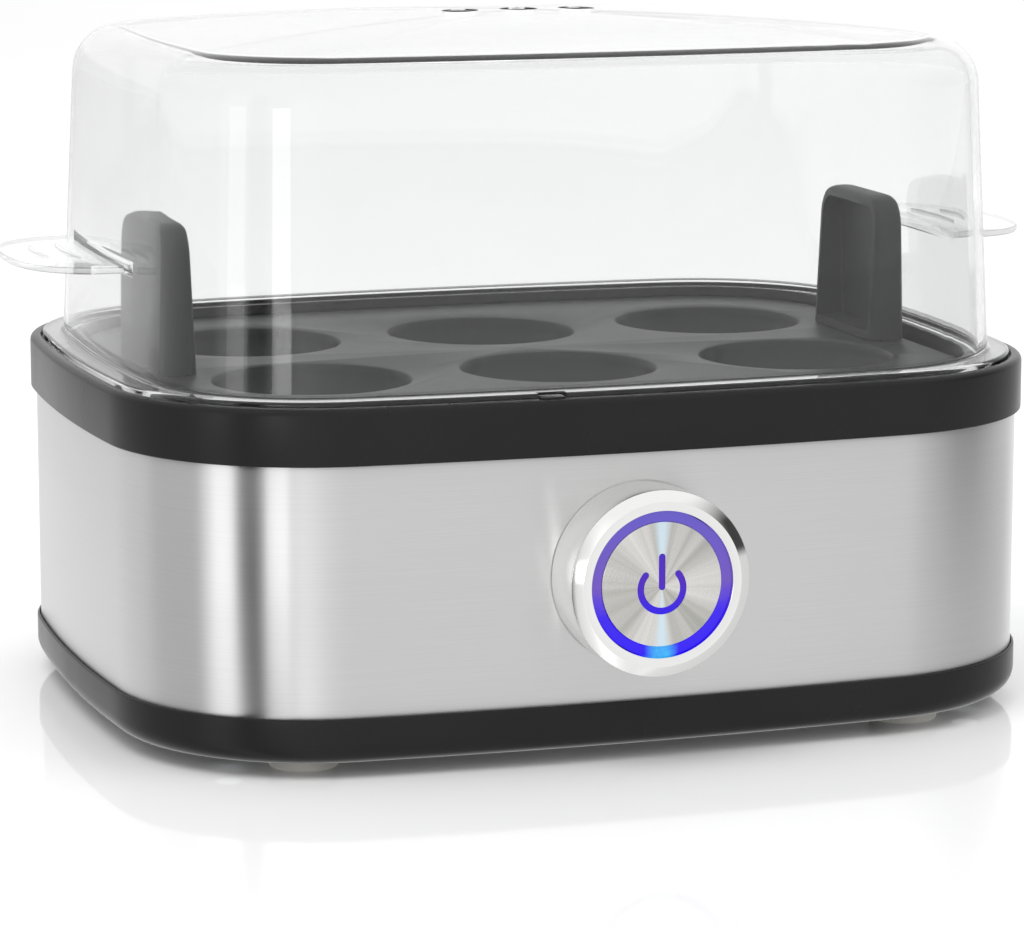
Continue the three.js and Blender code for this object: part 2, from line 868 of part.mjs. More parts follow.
// Switch: a disc behind the neck with the switch's box below the well floor, and its two blades
function switchHousing() {
  const disc = across(neckRadius - switchDiscInset, switchFaceY, switchDiscBackY, 0, buttonHeight, seatSteps);
  const half = switchBoxWidth / 2;
  const boxNearY = switchDiscBackY - switchDiscThickness / 2;
  const box = block(-half, half, boxNearY, switchBoxBackY, switchBoxTop - switchBoxHeight, switchBoxTop);
  const boreEnd = switchFaceY + pinReach + buttonTravel + assemblyGap;
  const bore = across(pinRadius + slideGap, switchFaceY - cutOverrun, boreEnd, 0, buttonHeight);
  const springSeat = springRadius + springWire + slideGap;
  const seatEnd = switchFaceY + buttonTravel;
  const counterbore = across(springSeat, switchFaceY - cutOverrun, seatEnd, 0, buttonHeight, seatSteps);
  const blades = [-1, 1].map((side) => block(
    side * switchBladeX - bladeSheet / 2,
    side * switchBladeX + bladeSheet / 2,
    switchBoxBackY - bladeSheet,
    switchBoxBackY + switchBladeLength,
    switchBladeHeight - bladeWidth / 2,
    switchBladeHeight + bladeWidth / 2,
  ));
  return joined(cut(joined(disc, box), bore, counterbore), ...blades);
}

function lampBoard() {
  const farY = switchFaceY - restGap;
  const nearY = farY - boardThickness;
  const outer = neckBore - restGap;
  const board = turnedOnButton([
    [boardBore, nearY],
    [outer, nearY],
    [outer, farY],
    [boardBore, farY],
    [boardBore, nearY],
  ], seatSteps);
  const lamps = [];
  const lampCircle = (boardBore + outer) / 2;
  for (let number = 0; number < lampCount; number += 1) {
    const angle = ((number + 1 / 2) * 2 * halfTurn) / lampCount;
    const x = lampCircle * Math.cos(angle);
    const z = buttonHeight + lampCircle * Math.sin(angle);
    const half = lampWidth / 2;
    lamps.push(block(x - half, x + half, nearY - lampDepth, nearY + boardThickness / 2, z - half, z + half));
  }
  return joined(board, ...lamps);
}

// Cord inlet: a flanged bush through the back of the sleeve, with its nut inside
function cordGland() {
  const flangeNearY = sleeveBackY + restGap;
  const insideY = sleeveBackY - sleeveSheet - restGap - glandNutThickness - assemblyGap;
  const profile = [
    [glandBore, insideY],
    [glandRadius, insideY],
    [glandRadius, flangeNearY],
    [glandRadius + glandFlange, flangeNearY],
    [glandRadius + glandFlange - footEdge, glandBackY],
    [glandBore, glandBackY],
    [glandBore, insideY],
  ].map(([radius, y]) => new THREE.Vector2(radius, y));
  return solid(new THREE.LatheGeometry(profile, seatSteps)).translate(0, 0, inletHeight);
}

function glandNut() {
  const farY = sleeveBackY - sleeveSheet - restGap;
  const bore = glandRadius + restGap;
  const nearY = farY - glandNutThickness;
  const profile = [
    [bore, nearY],
    [glandRadius + glandNutLap, nearY],
    [glandRadius + glandNutLap, farY],
    [bore, farY],
    [bore, nearY],
  ].map(([radius, y]) => new THREE.Vector2(radius, y));
  return solid(new THREE.LatheGeometry(profile, seatSteps)).translate(0, 0, inletHeight);
}

// Terminal block on the floor: three ways from front to back, each with a screw at both ends
const blockBottom = floorTop + restGap;
const blockTop = blockBottom + blockHeight;
const blockWayHeight = blockBottom + blockHeight / 3;
const blockScrewFoot = blockWayHeight + leadRadius + restGap;

function blockWayX(number) {
  return blockX + ((number - (blockWays - 1) / 2) * blockLength) / blockWays;
}

function blockScrewPlaces() {
  const places = [];
  for (let number = 0; number < blockWays; number += 1) {
    for (const side of [-1, 1]) {
      places.push([blockWayX(number), blockY + (side * blockWidth) / 4]);
    }
  }
  return places;
}

function terminalBlock() {
  const frontY = blockY - blockWidth / 2;
  const backY = blockY + blockWidth / 2;
  const endX = blockLength / 2;
  const whole = block(blockX - endX, blockX + endX, frontY, backY, blockBottom, blockTop);
  const tools = [];
  for (let number = 0; number < blockWays; number += 1) {
    const x = blockWayX(number);
    tools.push(across(blockWayRadius, frontY - cutOverrun, backY + cutOverrun, x, blockWayHeight));
  }
  for (const [x, y] of blockScrewPlaces()) {
    tools.push(
      upright(smallScrewHead + restGap, blockTop - blockScrewDepth, blockTop + cutOverrun).translate(x, y, 0),
      upright(smallScrewRadius + restGap, blockWayHeight, blockTop).translate(x, y, 0),
    );
  }
  return cut(whole, ...tools);
}

function terminalScrew() {
  const seat = blockTop - blockScrewDepth + restGap;
  return turned([
    [0, blockScrewFoot],
    [smallScrewRadius, blockScrewFoot],
    [smallScrewRadius, seat],
    [smallScrewHead, seat],
    [smallScrewHead, seat + smallScrewHeadHeight],
    [0, seat + smallScrewHeadHeight],
  ]);
}

// A lead along its route, given as points
function lead(route) {
  const curve = new THREE.CatmullRomCurve3(route.map((point) => new THREE.Vector3(...point)));
  return tube(curve, leadRadius, leadSides, Math.ceil(curve.getLength() / leadSpacing));
}

// Where leads end: inside a way of the block, under a blade or at a blade's end, under a stud or leg
function wayEnd(number) {
  const x = blockWayX(number);
  const endY = blockY - blockWidth / 4 - smallScrewRadius;
  return [[x, endY, blockWayHeight], [x, blockY - blockWidth / 2 - leadRun, blockWayHeight]];
}

function switchEnd(side) {
  const bladeEndY = switchBoxBackY + switchBladeLength;
  const x = side * switchBladeX;
  return [[x, bladeEndY + restGap, switchBladeHeight], [x, bladeEndY + leadRun, switchBladeHeight]];
}

function hangingEnd(x, y, height) {
  return [[x, y, height - restGap], [x, y, height - leadRun]];
}

function leadRoutes() {
  const bladeEnd = thermostatBottom - bladeLength;
  const legEnd = elementHeight - elementLegDrop;
  const [studX, studY] = studPlaces()[1];
  const fuseEnd = fuseLength / 2 + fuseRadius + restGap;
  const low = floorTop + leadRise;
  const front = hangingEnd(0, -bladeSpread / 2, bladeEnd);
  const back = hangingEnd(0, bladeSpread / 2, bladeEnd);
  const leftLeg = hangingEnd(-elementLegX, elementEndY(), legEnd);
  const rightLeg = hangingEnd(elementLegX, elementEndY(), legEnd);
  const earth = hangingEnd(studX, studY, studFoot);
  return {
    live: [
      ...wayEnd(2),
      [blockWayX(2), 0, low],
      [blockWayX(2) / 2, -studCircle, low],
      ...switchEnd(-1).reverse(),
    ],
    switched: [...switchEnd(1), [switchBladeX, -studCircle / 2, low], ...front.reverse()],
    heater: [...back, [-switchBladeX, fuseY, low], ...leftLeg.reverse()],
    fuse: [
      [fuseX + fuseEnd, fuseY, fuseHeight],
      [fuseX + fuseEnd + leadSag, fuseY, fuseHeight - leadSag / 2],
      [fuseX + fuseEnd + leadSag, (fuseY + elementEndY()) / 2, low + leadRun],
      ...rightLeg.reverse(),
    ],
    neutral: [
      [fuseX - fuseEnd, fuseY, fuseHeight],
      [fuseX - fuseEnd - leadSag, fuseY, fuseHeight - leadSag / 2],
      [blockWayX(1) + leadRun, fuseY / 2, low],
      ...wayEnd(1).reverse(),
    ],
    earth: [...wayEnd(0), [blockWayX(0), 0, low], ...earth.reverse()],
  };
}

function foot() {
  return turned([
    [0, 0],
    [footRadius - footEdge, 0],
    [footRadius, footEdge],
    [footRadius, footReach - restGap],
    [footPlugRadius, footReach - restGap],
    [footPlugRadius, footReach + footPlugHeight],
    [0, footReach + footPlugHeight],
  ], footSteps);
}

// Tray: a deck with a turned-down edge, cut straight at both ends, and six cup seats
const trayInset = wellInset + slideGap;
const handleOuterX = bodyWidth / 2 - handleInset + handleDraftOutside / 2;
const trayEndX = handleOuterX + handleWeb / 2;

function seatPlaces() {
  const handleFoot = handleOuterX - handleDraftOutside - handleTopThickness - handleDraftInside;
  const endSeat = handleFoot - seatEndLand - seatTopRadius;
  const sideSeat = bodyDepth / 2 - trayInset - seatSideLand - seatTopRadius;
  const seatPitchX = (2 * endSeat) / (seatColumns - 1);
  const seatPitchY = (2 * sideSeat) / (seatRows - 1);
  const places = [];
  for (let row = 0; row < seatRows; row += 1) {
    for (let column = 0; column < seatColumns; column += 1) {
      const x = (column - (seatColumns - 1) / 2) * seatPitchX;
      const y = (row - (seatRows - 1) / 2) * seatPitchY;
      places.push([x, y]);
    }
  }
  return places;
}

// The cup's inner wall: it narrows on an arc from the deck to the open bottom
function seatWallProfile(grow) {
  const low = deckHeight - seatDepth;
  const narrowing = seatTopRadius - seatHoleRadius;
  const shares = [0, 1 / 3, 2 / 3, 1];
  return shares.map((share) => {
    const radius = seatHoleRadius + grow + narrowing * Math.sin(share * quarterTurn);
    return [radius, low + seatDepth * share];
  });
}

function seatCup() {
  const low = deckHeight - seatDepth;
  return turned([[0, low], ...seatWallProfile(seatWall), [0, deckHeight]], seatSteps);
}

function seatHollow() {
  const low = deckHeight - seatDepth;
  const wall = seatWallProfile(0);
  return turned([
    [0, low - cutOverrun],
    [seatHoleRadius, low - cutOverrun],
    ...wall,
    [seatTopRadius, deckHeight + cutOverrun],
    [0, deckHeight + cutOverrun],
  ], seatSteps);
}

// A prism of the plan's outline, cut straight at both ends
function endedPrism(inset, endX, low, high) {
  const prism = ringed([[0, low, 0], [-inset, low], [-inset, high], [0, high, 0]]);
  const wide = bodyDepth;
  return prism.intersect(block(-endX, endX, -wide, wide, low - cutOverrun, high + cutOverrun));
}

// Side view of a handle or its pocket: the faces lean outwards downwards, the top edges are round
function handleSideShape(inner, outer, low, high, edge, draftIn, draftOut) {
  const shape = new THREE.Shape();
  shape.moveTo(inner - draftIn, low);
  shape.lineTo(outer + draftOut, low);
  shape.lineTo(outer, high - edge);
  shape.quadraticCurveTo(outer, high, outer - edge, high);
  shape.lineTo(inner + edge, high);
  shape.quadraticCurveTo(inner, high, inner, high - edge);
  shape.closePath();
  return shape;
}

function alongY(shape, halfWidth) {
  const extruded = new THREE.ExtrudeGeometry(shape, {
    depth: 2 * halfWidth,
    bevelEnabled: false,
    curveSegments: arcSteps,
  });
  return solid(extruded.rotateX(quarterTurn).translate(0, halfWidth, 0));
}

function roundTopped(halfWidth, corner, low, high, nearX, farX) {
  const shape = new THREE.Shape();
  shape.moveTo(-halfWidth, low);
  shape.lineTo(halfWidth, low);
  shape.lineTo(halfWidth, high - corner);
  shape.quadraticCurveTo(halfWidth, high, halfWidth - corner, high);
  shape.lineTo(-halfWidth + corner, high);
  shape.quadraticCurveTo(-halfWidth, high, -halfWidth, high - corner);
  shape.closePath();
  const extruded = new THREE.ExtrudeGeometry(shape, {
    depth: farX - nearX,
    bevelEnabled: false,
    curveSegments: 2 * arcSteps,
  });
  return solid(extruded.rotateX(quarterTurn).rotateZ(quarterTurn).translate(nearX, 0, 0));
}

// The two tabs of the handle at +X and, grown by an allowance, the deck's slots for them
function handleTabs(grow, low, high) {
  const middleX = handleOuterX - handleDraftOutside - handleTopThickness / 2;
  const middleY = (handleWidth - handleSide) / 2;
  const halfX = handleTabWidth / 2 + grow;
  const halfY = handleTabSheet / 2 + grow;
  return [-1, 1].map((side) => block(
    middleX - halfX,
    middleX + halfX,
    side * middleY - halfY,
    side * middleY + halfY,
    low,
    high,
  ));
}

// The handle at +X: a hood with round top corners, closed outside and open towards the seats, that
// stands on the deck and is held by two tabs hooked under it
function trayHandle() {
  const outer = handleOuterX - handleDraftOutside;
  const inner = outer - handleTopThickness;
  const low = deckHeight + restGap;
  const high = deckHeight + handleHeight;
  const half = handleWidth / 2;
  const section = handleSideShape(inner, outer, low, high, handleEdge, handleDraftInside, handleDraftOutside);
  const rounded = roundTopped(half, handleCorner, low, high, 0, bodyWidth / 2);
  const hood = alongY(section, half).intersect(rounded);
  const pocketLow = deckHeight + handleFloorRise;
  const pocketTop = high - handleSide;
  const pocketHalf = half - handleSide;
  const pocketSection = handleSideShape(
    inner - handleTopThickness,
    outer - handleWeb,
    pocketLow,
    pocketTop,
    handleEdge / 2,
    handleDraftInside,
    handleDraftOutside,
  );
  const pocketCorner = handleCorner - handleSide;
  const pocketRound = roundTopped(pocketHalf, pocketCorner, pocketLow, pocketTop, 0, bodyWidth / 2);
  const hookTop = deckHeight - deckSheet - restGap;
  const hookFoot = hookTop - handleTabHookHeight;
  const tabs = handleTabs(0, hookFoot, (low + pocketLow) / 2);
  const hooks = handleTabs(0, hookFoot, hookTop).map((hook, number) => (
    hook.translate(0, number === 0 ? -handleTabHook : handleTabHook, 0)
  ));
  return joined(cut(hood, alongY(pocketSection, pocketHalf).intersect(pocketRound)), ...tabs, ...hooks);
}

function eggTray() {
  const low = deckHeight - trayEdgeHeight;
  const outer = endedPrism(trayInset, trayEndX, low, deckHeight);
  const hollowTop = deckHeight - deckSheet;
  const hollow = endedPrism(trayInset + trayWall, trayEndX - trayWall, low - cutOverrun, hollowTop);
  const cups = seatPlaces().map(([x, y]) => seatCup().translate(x, y, 0));
  const hollows = seatPlaces().map(([x, y]) => seatHollow().translate(x, y, 0));
  const rightSlots = handleTabs(slideGap, hollowTop - cutOverrun, deckHeight + cutOverrun);
  const leftSlots = rightSlots.map((slot) => slot.rotate(0, 0, 180));
  return cut(joined(cut(outer, hollow), ...cups), ...hollows, ...rightSlots, ...leftSlots);
}

// Lid: flange, drafted wall, round shoulder, slightly domed top with vents, and a grip at each end
const lidBottom = lidSeat + restGap;
const flangeTopLid = lidBottom + lidFlangeThickness;
const lidCrease = flangeTopLid + lidHeight;
const shoulderInset = lidWallInset + lidWallTaper;

function domeRings(inset, creaseHeight, rise) {
  return [...domeShares.map((share) => [-inset, creaseHeight + rise * (1 - share ** 2), share]),
    [0, creaseHeight + rise, 0]];
}

function lidShell() {
  const shoulderFoot = lidCrease - lidShoulder;
  const outerShoulder = quarterArc([-shoulderInset - lidShoulder, shoulderFoot], lidShoulder, 0);
  const innerRadius = lidShoulder - lidSheet;
  const innerShoulder = quarterArc([-shoulderInset - lidShoulder, shoulderFoot], innerRadius, 0);
  const creaseInset = shoulderInset + lidShoulder;
  const outer = [
    [-lidWallInset - lidSheet, lidBottom],
    [-lidFlangeInset, lidBottom],
    [-lidFlangeInset, flangeTopLid],
    [-lidWallInset, flangeTopLid],
    ...outerShoulder,
    ...domeRings(creaseInset, lidCrease, lidDomeRise),
  ];
  const inner = [
    [-lidWallInset - lidSheet, lidBottom],
    ...innerShoulder,
    ...domeRings(creaseInset, lidCrease - lidSheet, lidDomeRise),
  ];
  return ringed([...inner.reverse(), ...outer.slice(1)]);
}

function lidHandlePlate() {
  const wallX = bodyWidth / 2 - lidWallInset;
  const tip = wallX + lidHandleReach;
  const half = lidHandleHalfWidth;
  const straight = tip - lidHandleCorner;
  const shape = new THREE.Shape();
  shape.moveTo(wallX - lidHandleRoot - lidWallTaper, -half);
  shape.lineTo(straight, -half);
  shape.quadraticCurveTo(tip, -half + lidHandleRoot, tip, 0);
  shape.quadraticCurveTo(tip, half - lidHandleRoot, straight, half);
  shape.lineTo(wallX - lidHandleRoot - lidWallTaper, half);
  shape.closePath();
  const low = flangeTopLid + lidHandleLevel - lidHandleThickness;
  const high = flangeTopLid + lidHandleLevel;
  let plate = raised(shape, low, high);
  gripRibLengths.forEach((length, number) => {
    const ribX = tip - gripRibInset - number * gripRibPitch;
    plate = joined(plate, gripRib(ribX, length, low + lidHandleThickness / 2, high + gripRibHeight));
  });
  return plate;
}

function gripRib(ribX, length, low, high) {
  const half = length / 2;
  const shape = new THREE.Shape();
  shape.moveTo(ribX - gripRibBow, -half);
  shape.quadraticCurveTo(ribX + gripRibBow, 0, ribX - gripRibBow, half);
  shape.lineTo(ribX - gripRibBow - gripRibWidth, half);
  shape.quadraticCurveTo(ribX + gripRibBow - gripRibWidth, 0, ribX - gripRibBow - gripRibWidth, -half);
  shape.closePath();
  return raised(shape, low, high, 2 * arcSteps);
}

function lid() {
  const shell = lidShell();
  const hollow = ringed([
    [0, lidBottom - cutOverrun, 0],
    [-lidWallInset - lidSheet, lidBottom - cutOverrun],
    [-lidWallInset - lidSheet, lidBottom],
    [-shoulderInset - lidSheet, lidCrease - lidShoulder],
    [0, lidCrease - lidShoulder, 0],
  ]);
  const right = lidHandlePlate().subtract(hollow);
  const left = right.rotate(0, 0, 180);
  const tools = [];
  for (let number = 0; number < ventCount; number += 1) {
    const x = (number - (ventCount - 1) / 2) * ventPitch;
    const ventTop = lidCrease + lidDomeRise + cutOverrun;
    const vent = upright(ventRadius, lidCrease - lidSheet - cutOverrun, ventTop, footSteps);
    tools.push(vent.translate(x, 0, 0));
  }
  const key = lidKeyPlace();
  tools.push(block(
    key.x - keyWidth / 2 - slideGap,
    key.x + keyWidth / 2 + slideGap,
    key.y - rimLand,
    key.y + keyDepth + slideGap,
    lidBottom - cutOverrun,
    flangeTopLid + cutOverrun,
  ));
  return cut(joined(shell, right, left), ...tools);
}

// Finishes
function finish(color, roughness, metalness = 0) {
  return { color, roughness, metalness };
}

const finishes = {
  blackPlastic: finish(0x202022, 0.35),
  greyPlastic: finish(0x4a4b4d, 0.5),
  clearPlastic: finish(0xe6e9ea, 0.08),
  whitePlastic: finish(0xe8e8e4, 0.5),
  brushedSteel: finish(0xc4c6c8, 0.32, 1),
  plainSteel: finish(0x9fa2a5, 0.4, 1),
  chrome: finish(0xe4e6e8, 0.06, 1),
  brass: finish(0xb99a52, 0.35, 1),
  silicone: finish(0xd9d8d2, 0.7),
  litBlue: finish(0x2a36ff, 0.3),
  board: finish(0x1f5a38, 0.6),
  nylon: finish(0xd6d2c4, 0.6),
  redLead: finish(0x9b2420, 0.55),
  blueLead: finish(0x27408c, 0.55),
  greenLead: finish(0x4c8a35, 0.55),
};

const model = new THREE.Group();

function add(name, shape, look, x = 0, y = 0, z = 0) {
  const mesh = new THREE.Mesh(geometryOf(shape), new THREE.MeshStandardMaterial(finishes[look]));
  mesh.name = name;
  mesh.position.set(x, y, z);
  model.add(mesh);
}

// Housing
add('lower_housing', lowerHousing(), 'blackPlastic');
add('steel_sleeve', steelSleeve(), 'brushedSteel');
add('rim_housing', rimHousing(), 'blackPlastic');
const cornerNames = ['front_left', 'front_right', 'back_left', 'back_right'];
fourCorners(footX, footY).forEach(([x, y], number) => {
  add(`foot_${cornerNames[number]}`, foot(), 'silicone', x, y);
});
fourCorners(...postPlace()).forEach(([x, y], number) => {
  const screw = screwUp(
    housingScrewHead,
    housingScrewHeadHeight,
    housingScrewRadius,
    housingScrewLength,
    housingScrewSeat,
  );
  add(`housing_screw_${cornerNames[number]}`, screw, 'plainSteel', x, y);
});

// Heater
add('heating_plate', heatingPlate(), 'plainSteel');
add('plate_seal', plateSeal(), 'silicone');
add('heating_element', heatingElement(), 'plainSteel');
add('element_bracket', elementBracket(), 'plainSteel');
studPlaces().forEach(([x, y], number) => {
  const nut = hexNut(studRadius + restGap, nutRadius, nutTop, nutHeight);
  add(`bracket_nut_${number + 1}`, nut, 'plainSteel', x, y);
});
add('thermostat', thermostat(), 'nylon');
[-1, 1].forEach((side, number) => {
  const seat = earTop - thermostatEarSheet - restGap;
  const length = thermostatEarSheet + bracketSheet + restGap;
  const screw = screwUp(smallScrewHead, smallScrewHeadHeight, smallScrewRadius, length, seat);
  add(`thermostat_screw_${number + 1}`, screw, 'plainSteel', (side * thermostatScrewSpread) / 2);
});
add('thermal_fuse', thermalFuse(), 'nylon');

// Button and switch
add('button_bezel', buttonBezel(), 'chrome');
add('bezel_nut', bezelNut(), 'whitePlastic');
add('button_plunger', buttonPlunger(), 'whitePlastic');
add('light_ring', lightRing(), 'litBlue');
add('button_disc', buttonDisc(), 'brushedSteel');
add('power_symbol', powerSymbol(), 'litBlue');
add('button_spring', buttonSpring(), 'plainSteel');
add('switch_housing', switchHousing(), 'blackPlastic');
add('lamp_board', lampBoard(), 'board');

// Cord inlet and wiring
add('cord_gland', cordGland(), 'blackPlastic');
add('gland_nut', glandNut(), 'blackPlastic');
add('terminal_block', terminalBlock(), 'nylon');
blockScrewPlaces().forEach(([x, y], number) => {
  add(`terminal_screw_${number + 1}`, terminalScrew(), 'brass', x, y);
});
const leadColors = {
  live: 'redLead',
  switched: 'redLead',
  heater: 'redLead',
  fuse: 'blueLead',
  neutral: 'blueLead',
  earth: 'greenLead',
};
for (const [name, route] of Object.entries(leadRoutes())) {
  add(`lead_${name}`, lead(route), leadColors[name]);
}

// Tray and lid
add('egg_tray', eggTray(), 'greyPlastic');
add('tray_handle_right', trayHandle(), 'greyPlastic');
add('tray_handle_left', trayHandle().rotate(0, 0, 180), 'greyPlastic');
add('lid', lid(), 'clearPlastic');

// The frame's origin lies midway between the bezel's face and the gland's face
const assembly = new THREE.Group();
model.position.y = -(bezelFrontY + glandBackY) / 2;
assembly.add(model);

export default assembly;
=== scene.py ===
"""Electric egg boiler: looks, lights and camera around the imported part.

Sizes are in millimetres from the middle of the body's plan, heights from the worktop. mesh_of turns
them into metres and moves them to the frame's origin. Distances inward from the rim's plan are below
zero, outward above it.
"""

import json
import math

import bmesh
import bpy
import numpy as np
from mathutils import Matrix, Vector


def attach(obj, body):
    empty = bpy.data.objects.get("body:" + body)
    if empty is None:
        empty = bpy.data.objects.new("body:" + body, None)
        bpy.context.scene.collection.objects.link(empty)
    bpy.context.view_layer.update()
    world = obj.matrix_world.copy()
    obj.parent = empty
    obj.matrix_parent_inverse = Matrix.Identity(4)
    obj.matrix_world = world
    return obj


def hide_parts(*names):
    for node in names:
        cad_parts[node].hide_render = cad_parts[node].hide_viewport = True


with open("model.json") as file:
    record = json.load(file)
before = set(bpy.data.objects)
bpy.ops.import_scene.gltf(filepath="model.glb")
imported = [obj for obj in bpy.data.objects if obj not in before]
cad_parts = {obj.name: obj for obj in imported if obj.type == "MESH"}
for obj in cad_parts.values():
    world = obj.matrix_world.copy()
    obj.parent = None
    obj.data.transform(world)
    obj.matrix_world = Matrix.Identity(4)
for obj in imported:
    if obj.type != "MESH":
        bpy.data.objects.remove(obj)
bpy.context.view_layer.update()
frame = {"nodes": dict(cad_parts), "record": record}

MM = 0.001
BODY_Y = 5.35

# The rim's plan: four corner arcs and four shallow bows between them.
HALF_LONG = 55.1
HALF_SHORT = 33.2
CORNER = 43.5
FRONT_BOW = 2.1
END_BOW = 1.4

# What several pieces share. A flat face is drawn in to the centre from CENTRE.
CENTRE = -25.0
GAP = 0.3
EDGE = 0.3
FINE_EDGE = 0.15
CUT_BELOW = 1.0

# The button's and the inlet's heights, and the places that repeat.
BUTTON_Z = 38.4
INLET_Z = 26.0
SEATS = [(x, y) for y in (-26.4, 26.4) for x in (-53.4, 0.0, 53.4)]
FEET = [(x, y) for x in (-65.0, 65.0) for y in (-60.0, 60.0)]
POSTS = [(x, y) for x in (-79.99, 79.99) for y in (-58.09, 58.09)]
STUDS = [(0.0, -19.5), (0.0, 19.5)]

# The sleeve, and the slots in the base and the rim that hold its edges.
SLEEVE_OUT = -1.2
SLEEVE_IN = -2.0
SLEEVE_FOOT = 10.9
SLEEVE_TOP = 64.3
LIP = 2.0
SLOT_OUT = SLEEVE_OUT + GAP
SLOT_IN = SLEEVE_IN - GAP
SLOT_FLOOR = SLEEVE_FOOT - GAP
SLOT_ROOF = SLEEVE_TOP + GAP
LIP_IN = SLOT_IN - LIP
FRONT_CUT = (-90.0, -60.0)
BACK_CUT = (60.0, 90.0)

# The base moulding, with its feet's sockets and its screws' holes.
BASE_SIDE = -0.4
BASE_UNDER = 2.8
BASE_ROUND = 4.4
BASE_FLOOR = 5.3
BASE_TOP = 12.4
BASE_LIP_TOP = 16.9
PAD_RADIUS = 7.0
PAD_TOP = BASE_UNDER - GAP
PAD_NECK = 4.0
PAD_NECK_TOP = 4.1
HEAD_HOLE = 3.3
SCREW_HOLE = 1.8
SCREW_SEAT = 4.5
SCREW_CUT_TOP = 7.0

# The rim moulding: skirt, flange, kerb, shelf, cone and well, with posts for the screws.
WALL = 2.0
SKIRT_FOOT = 62.8
RIM_TOP = 74.2
RIM_ROUND = 1.3
FLANGE_TOP = 73.0
RIM_LIP_FOOT = 59.9
KERB = -10.4
KERB_TOP = 74.4
KERB_SLOPE = 0.4
SLOPE_FOOT = 72.6
SHELF_TOP = 67.0
SHELF_END = -13.2
CONE_TOP = 57.0
CONE_FOOT = 47.0
WELL_SIDE = -22.0
WELL_FLOOR = 44.5
WELL_HOLE = 46.0
WELL_HOLE_SEAT = 43.3
WELL_HOLE_STEP = 0.4
WELL_CUT = (40.0, 48.0)
KEY_PLACE = (-18.0, -75.5)
KEY_HALF = (2.5, 1.7)
KEY_FOOT = 72.0
KEY_TOP = 74.6
POST_RADIUS = 3.7
POST_FOOT = BASE_FLOOR + GAP
POST_TOP = 72.0
POST_BORE_TOP = 19.6

# The inlet bush, along y.
BUSH_BORE = 3.4
BUSH_NECK = 5.1
BUSH_FLANGE = 7.6
BUSH_IN = 72.0
BUSH_SEAT = 77.9
BUSH_OUT = 79.9

# The bezel and the button, along y. FACE_Y is the face of the disc.
BEZEL_Y = -90.6
FACE_Y = -90.0
BEZEL_BORE = 14.75
BEZEL_FLAT = 16.55
BEZEL_RADIUS = 18.75
BEZEL_BEVEL = 1.2
BEZEL_BACK = -77.6
BEZEL_STEP = -81.6
BEZEL_SEAM = 1.6
NECK_RADIUS = 17.15
NECK_BORE = 15.75
NECK_END = -68.3
RING_RADIUS = 14.6
RING_BORE = 12.6
RING_SUNK = 0.05
RING_DEPTH = 2.8
DISC_RADIUS = 12.5
DISC_DEPTH = 1.2
SYMBOL_RADIUS = 4.45
SYMBOL_HALF = 0.62
SYMBOL_GAP = 50
SYMBOL_DROP = 0.9
SYMBOL_BAR_RISE = 3.4
SYMBOL_BAR_HALF = 3.6
SYMBOL_SUNK = 0.07
SYMBOL_DEPTH = 1.6
SYMBOL_ROOM = 0.06
SYMBOL_CUT = (-2.0, 3.0)
PLATE_RADIUS = 7.9
PLATE_DEPTHS = (1.5, 2.3)

# The heating plate: a dish with a rolled flange, its studs and its seal.
DISH_UNDER = 41.8
DISH_FLAT = 41.0
DISH_SHEET = 1.5
DISH_SIDE = 45.0
DISH_SLOPE = 43.8
DISH_FLANGE = 46.3
DISH_RADIUS = 50.0
STUD_RADIUS = 1.6
STUD_END = 30.3
STUD_CHAMFER = (0.1, 0.2)
STUD_TOP = 42.2
SEAL_MIDDLE = 47.3
SEAL_SIDES = (46.5, 49.5)
SEAL_HEIGHTS = (44.8, 46.0)

# The tray: its deck, seats and handles.
DECK = 72.3
DECK_SIDE = -12.8
DECK_SKIRT = 5.0
DECK_SHEET = 1.8
TRAY_SHEET = 1.6
TRAY_END = 84.15
TRIM_FAR = (130.0, 99.0)
TRIM_HEIGHTS = (50.0, 90.0)
CUP_DEPTH = 10.0
CUP_MOUTH = 20.5
CUP_FOOT = 15.0
CUP_SHEET = 1.6
CUP_FLARE = [(20.45, -0.75), (20.7, -0.3), (21.3, 0), (21.3, 2)]
TAB_X = (77.75, 80.95)
TAB_Y = 15.35
TAB_HALF = 0.7
TAB_FOOT = 68.8
HOOK_TOP = 70.2
TAB_SLOT_X = 79.35
TAB_SLOT_HALF = (2.0, 1.1)

# A hood and its hollow: inside and outside face, half width, foot and top above the deck, radius
# of the corners and of the edges. The faces lean by HOOD_LEAN from top to foot.
HOOD = (76.35, 82.35, 16.5, 0.3, 31.4, 6.5, 1.7)
POCKET = (70.0, 80.55, 14.2, 2.0, 29.1, 4.2, 0.8)
HOOD_LEAN = (1.4, 0.9)

# The lid: foot, flange, leaning wall, shoulder and dome, with its grips and vents.
LID_FOOT = 73.3
LID_FLANGE = 75.2
LID_EDGE = -2.7
LID_START = -12.0
CREASE = 140.9
DOME_RISE = 4.2
WALL_FOOT = 7.2
WALL_TOP = 10.6
SHOULDER = 10.0
SHEET = 1.8
GRIP_START = 91.5
GRIP_REACH = 20.1
GRIP_HALF = 27.0
GRIP_ROOT = 86.0
GRIP_POWER = 2.6
GRIP_HEIGHTS = (95.7, 97.2)
GRIP_EDGE = 0.5
GRIP_ZONE_Z = 96.6
GRIP_ZONE_HALF = (27.4, 1.3)
RIB_PLACES = [(105.3, 9.0), (99.2, 12.5)]
RIB_WIDTH = 1.0
RIB_BOW = 1.3
RIB_HEIGHTS = (96.5, 97.7)
RIB_EDGE = 0.35
VENT_X = (-13.0, 0.0, 13.0)
VENT_RADIUS = 3.7
VENT_MOUTH = 4.2
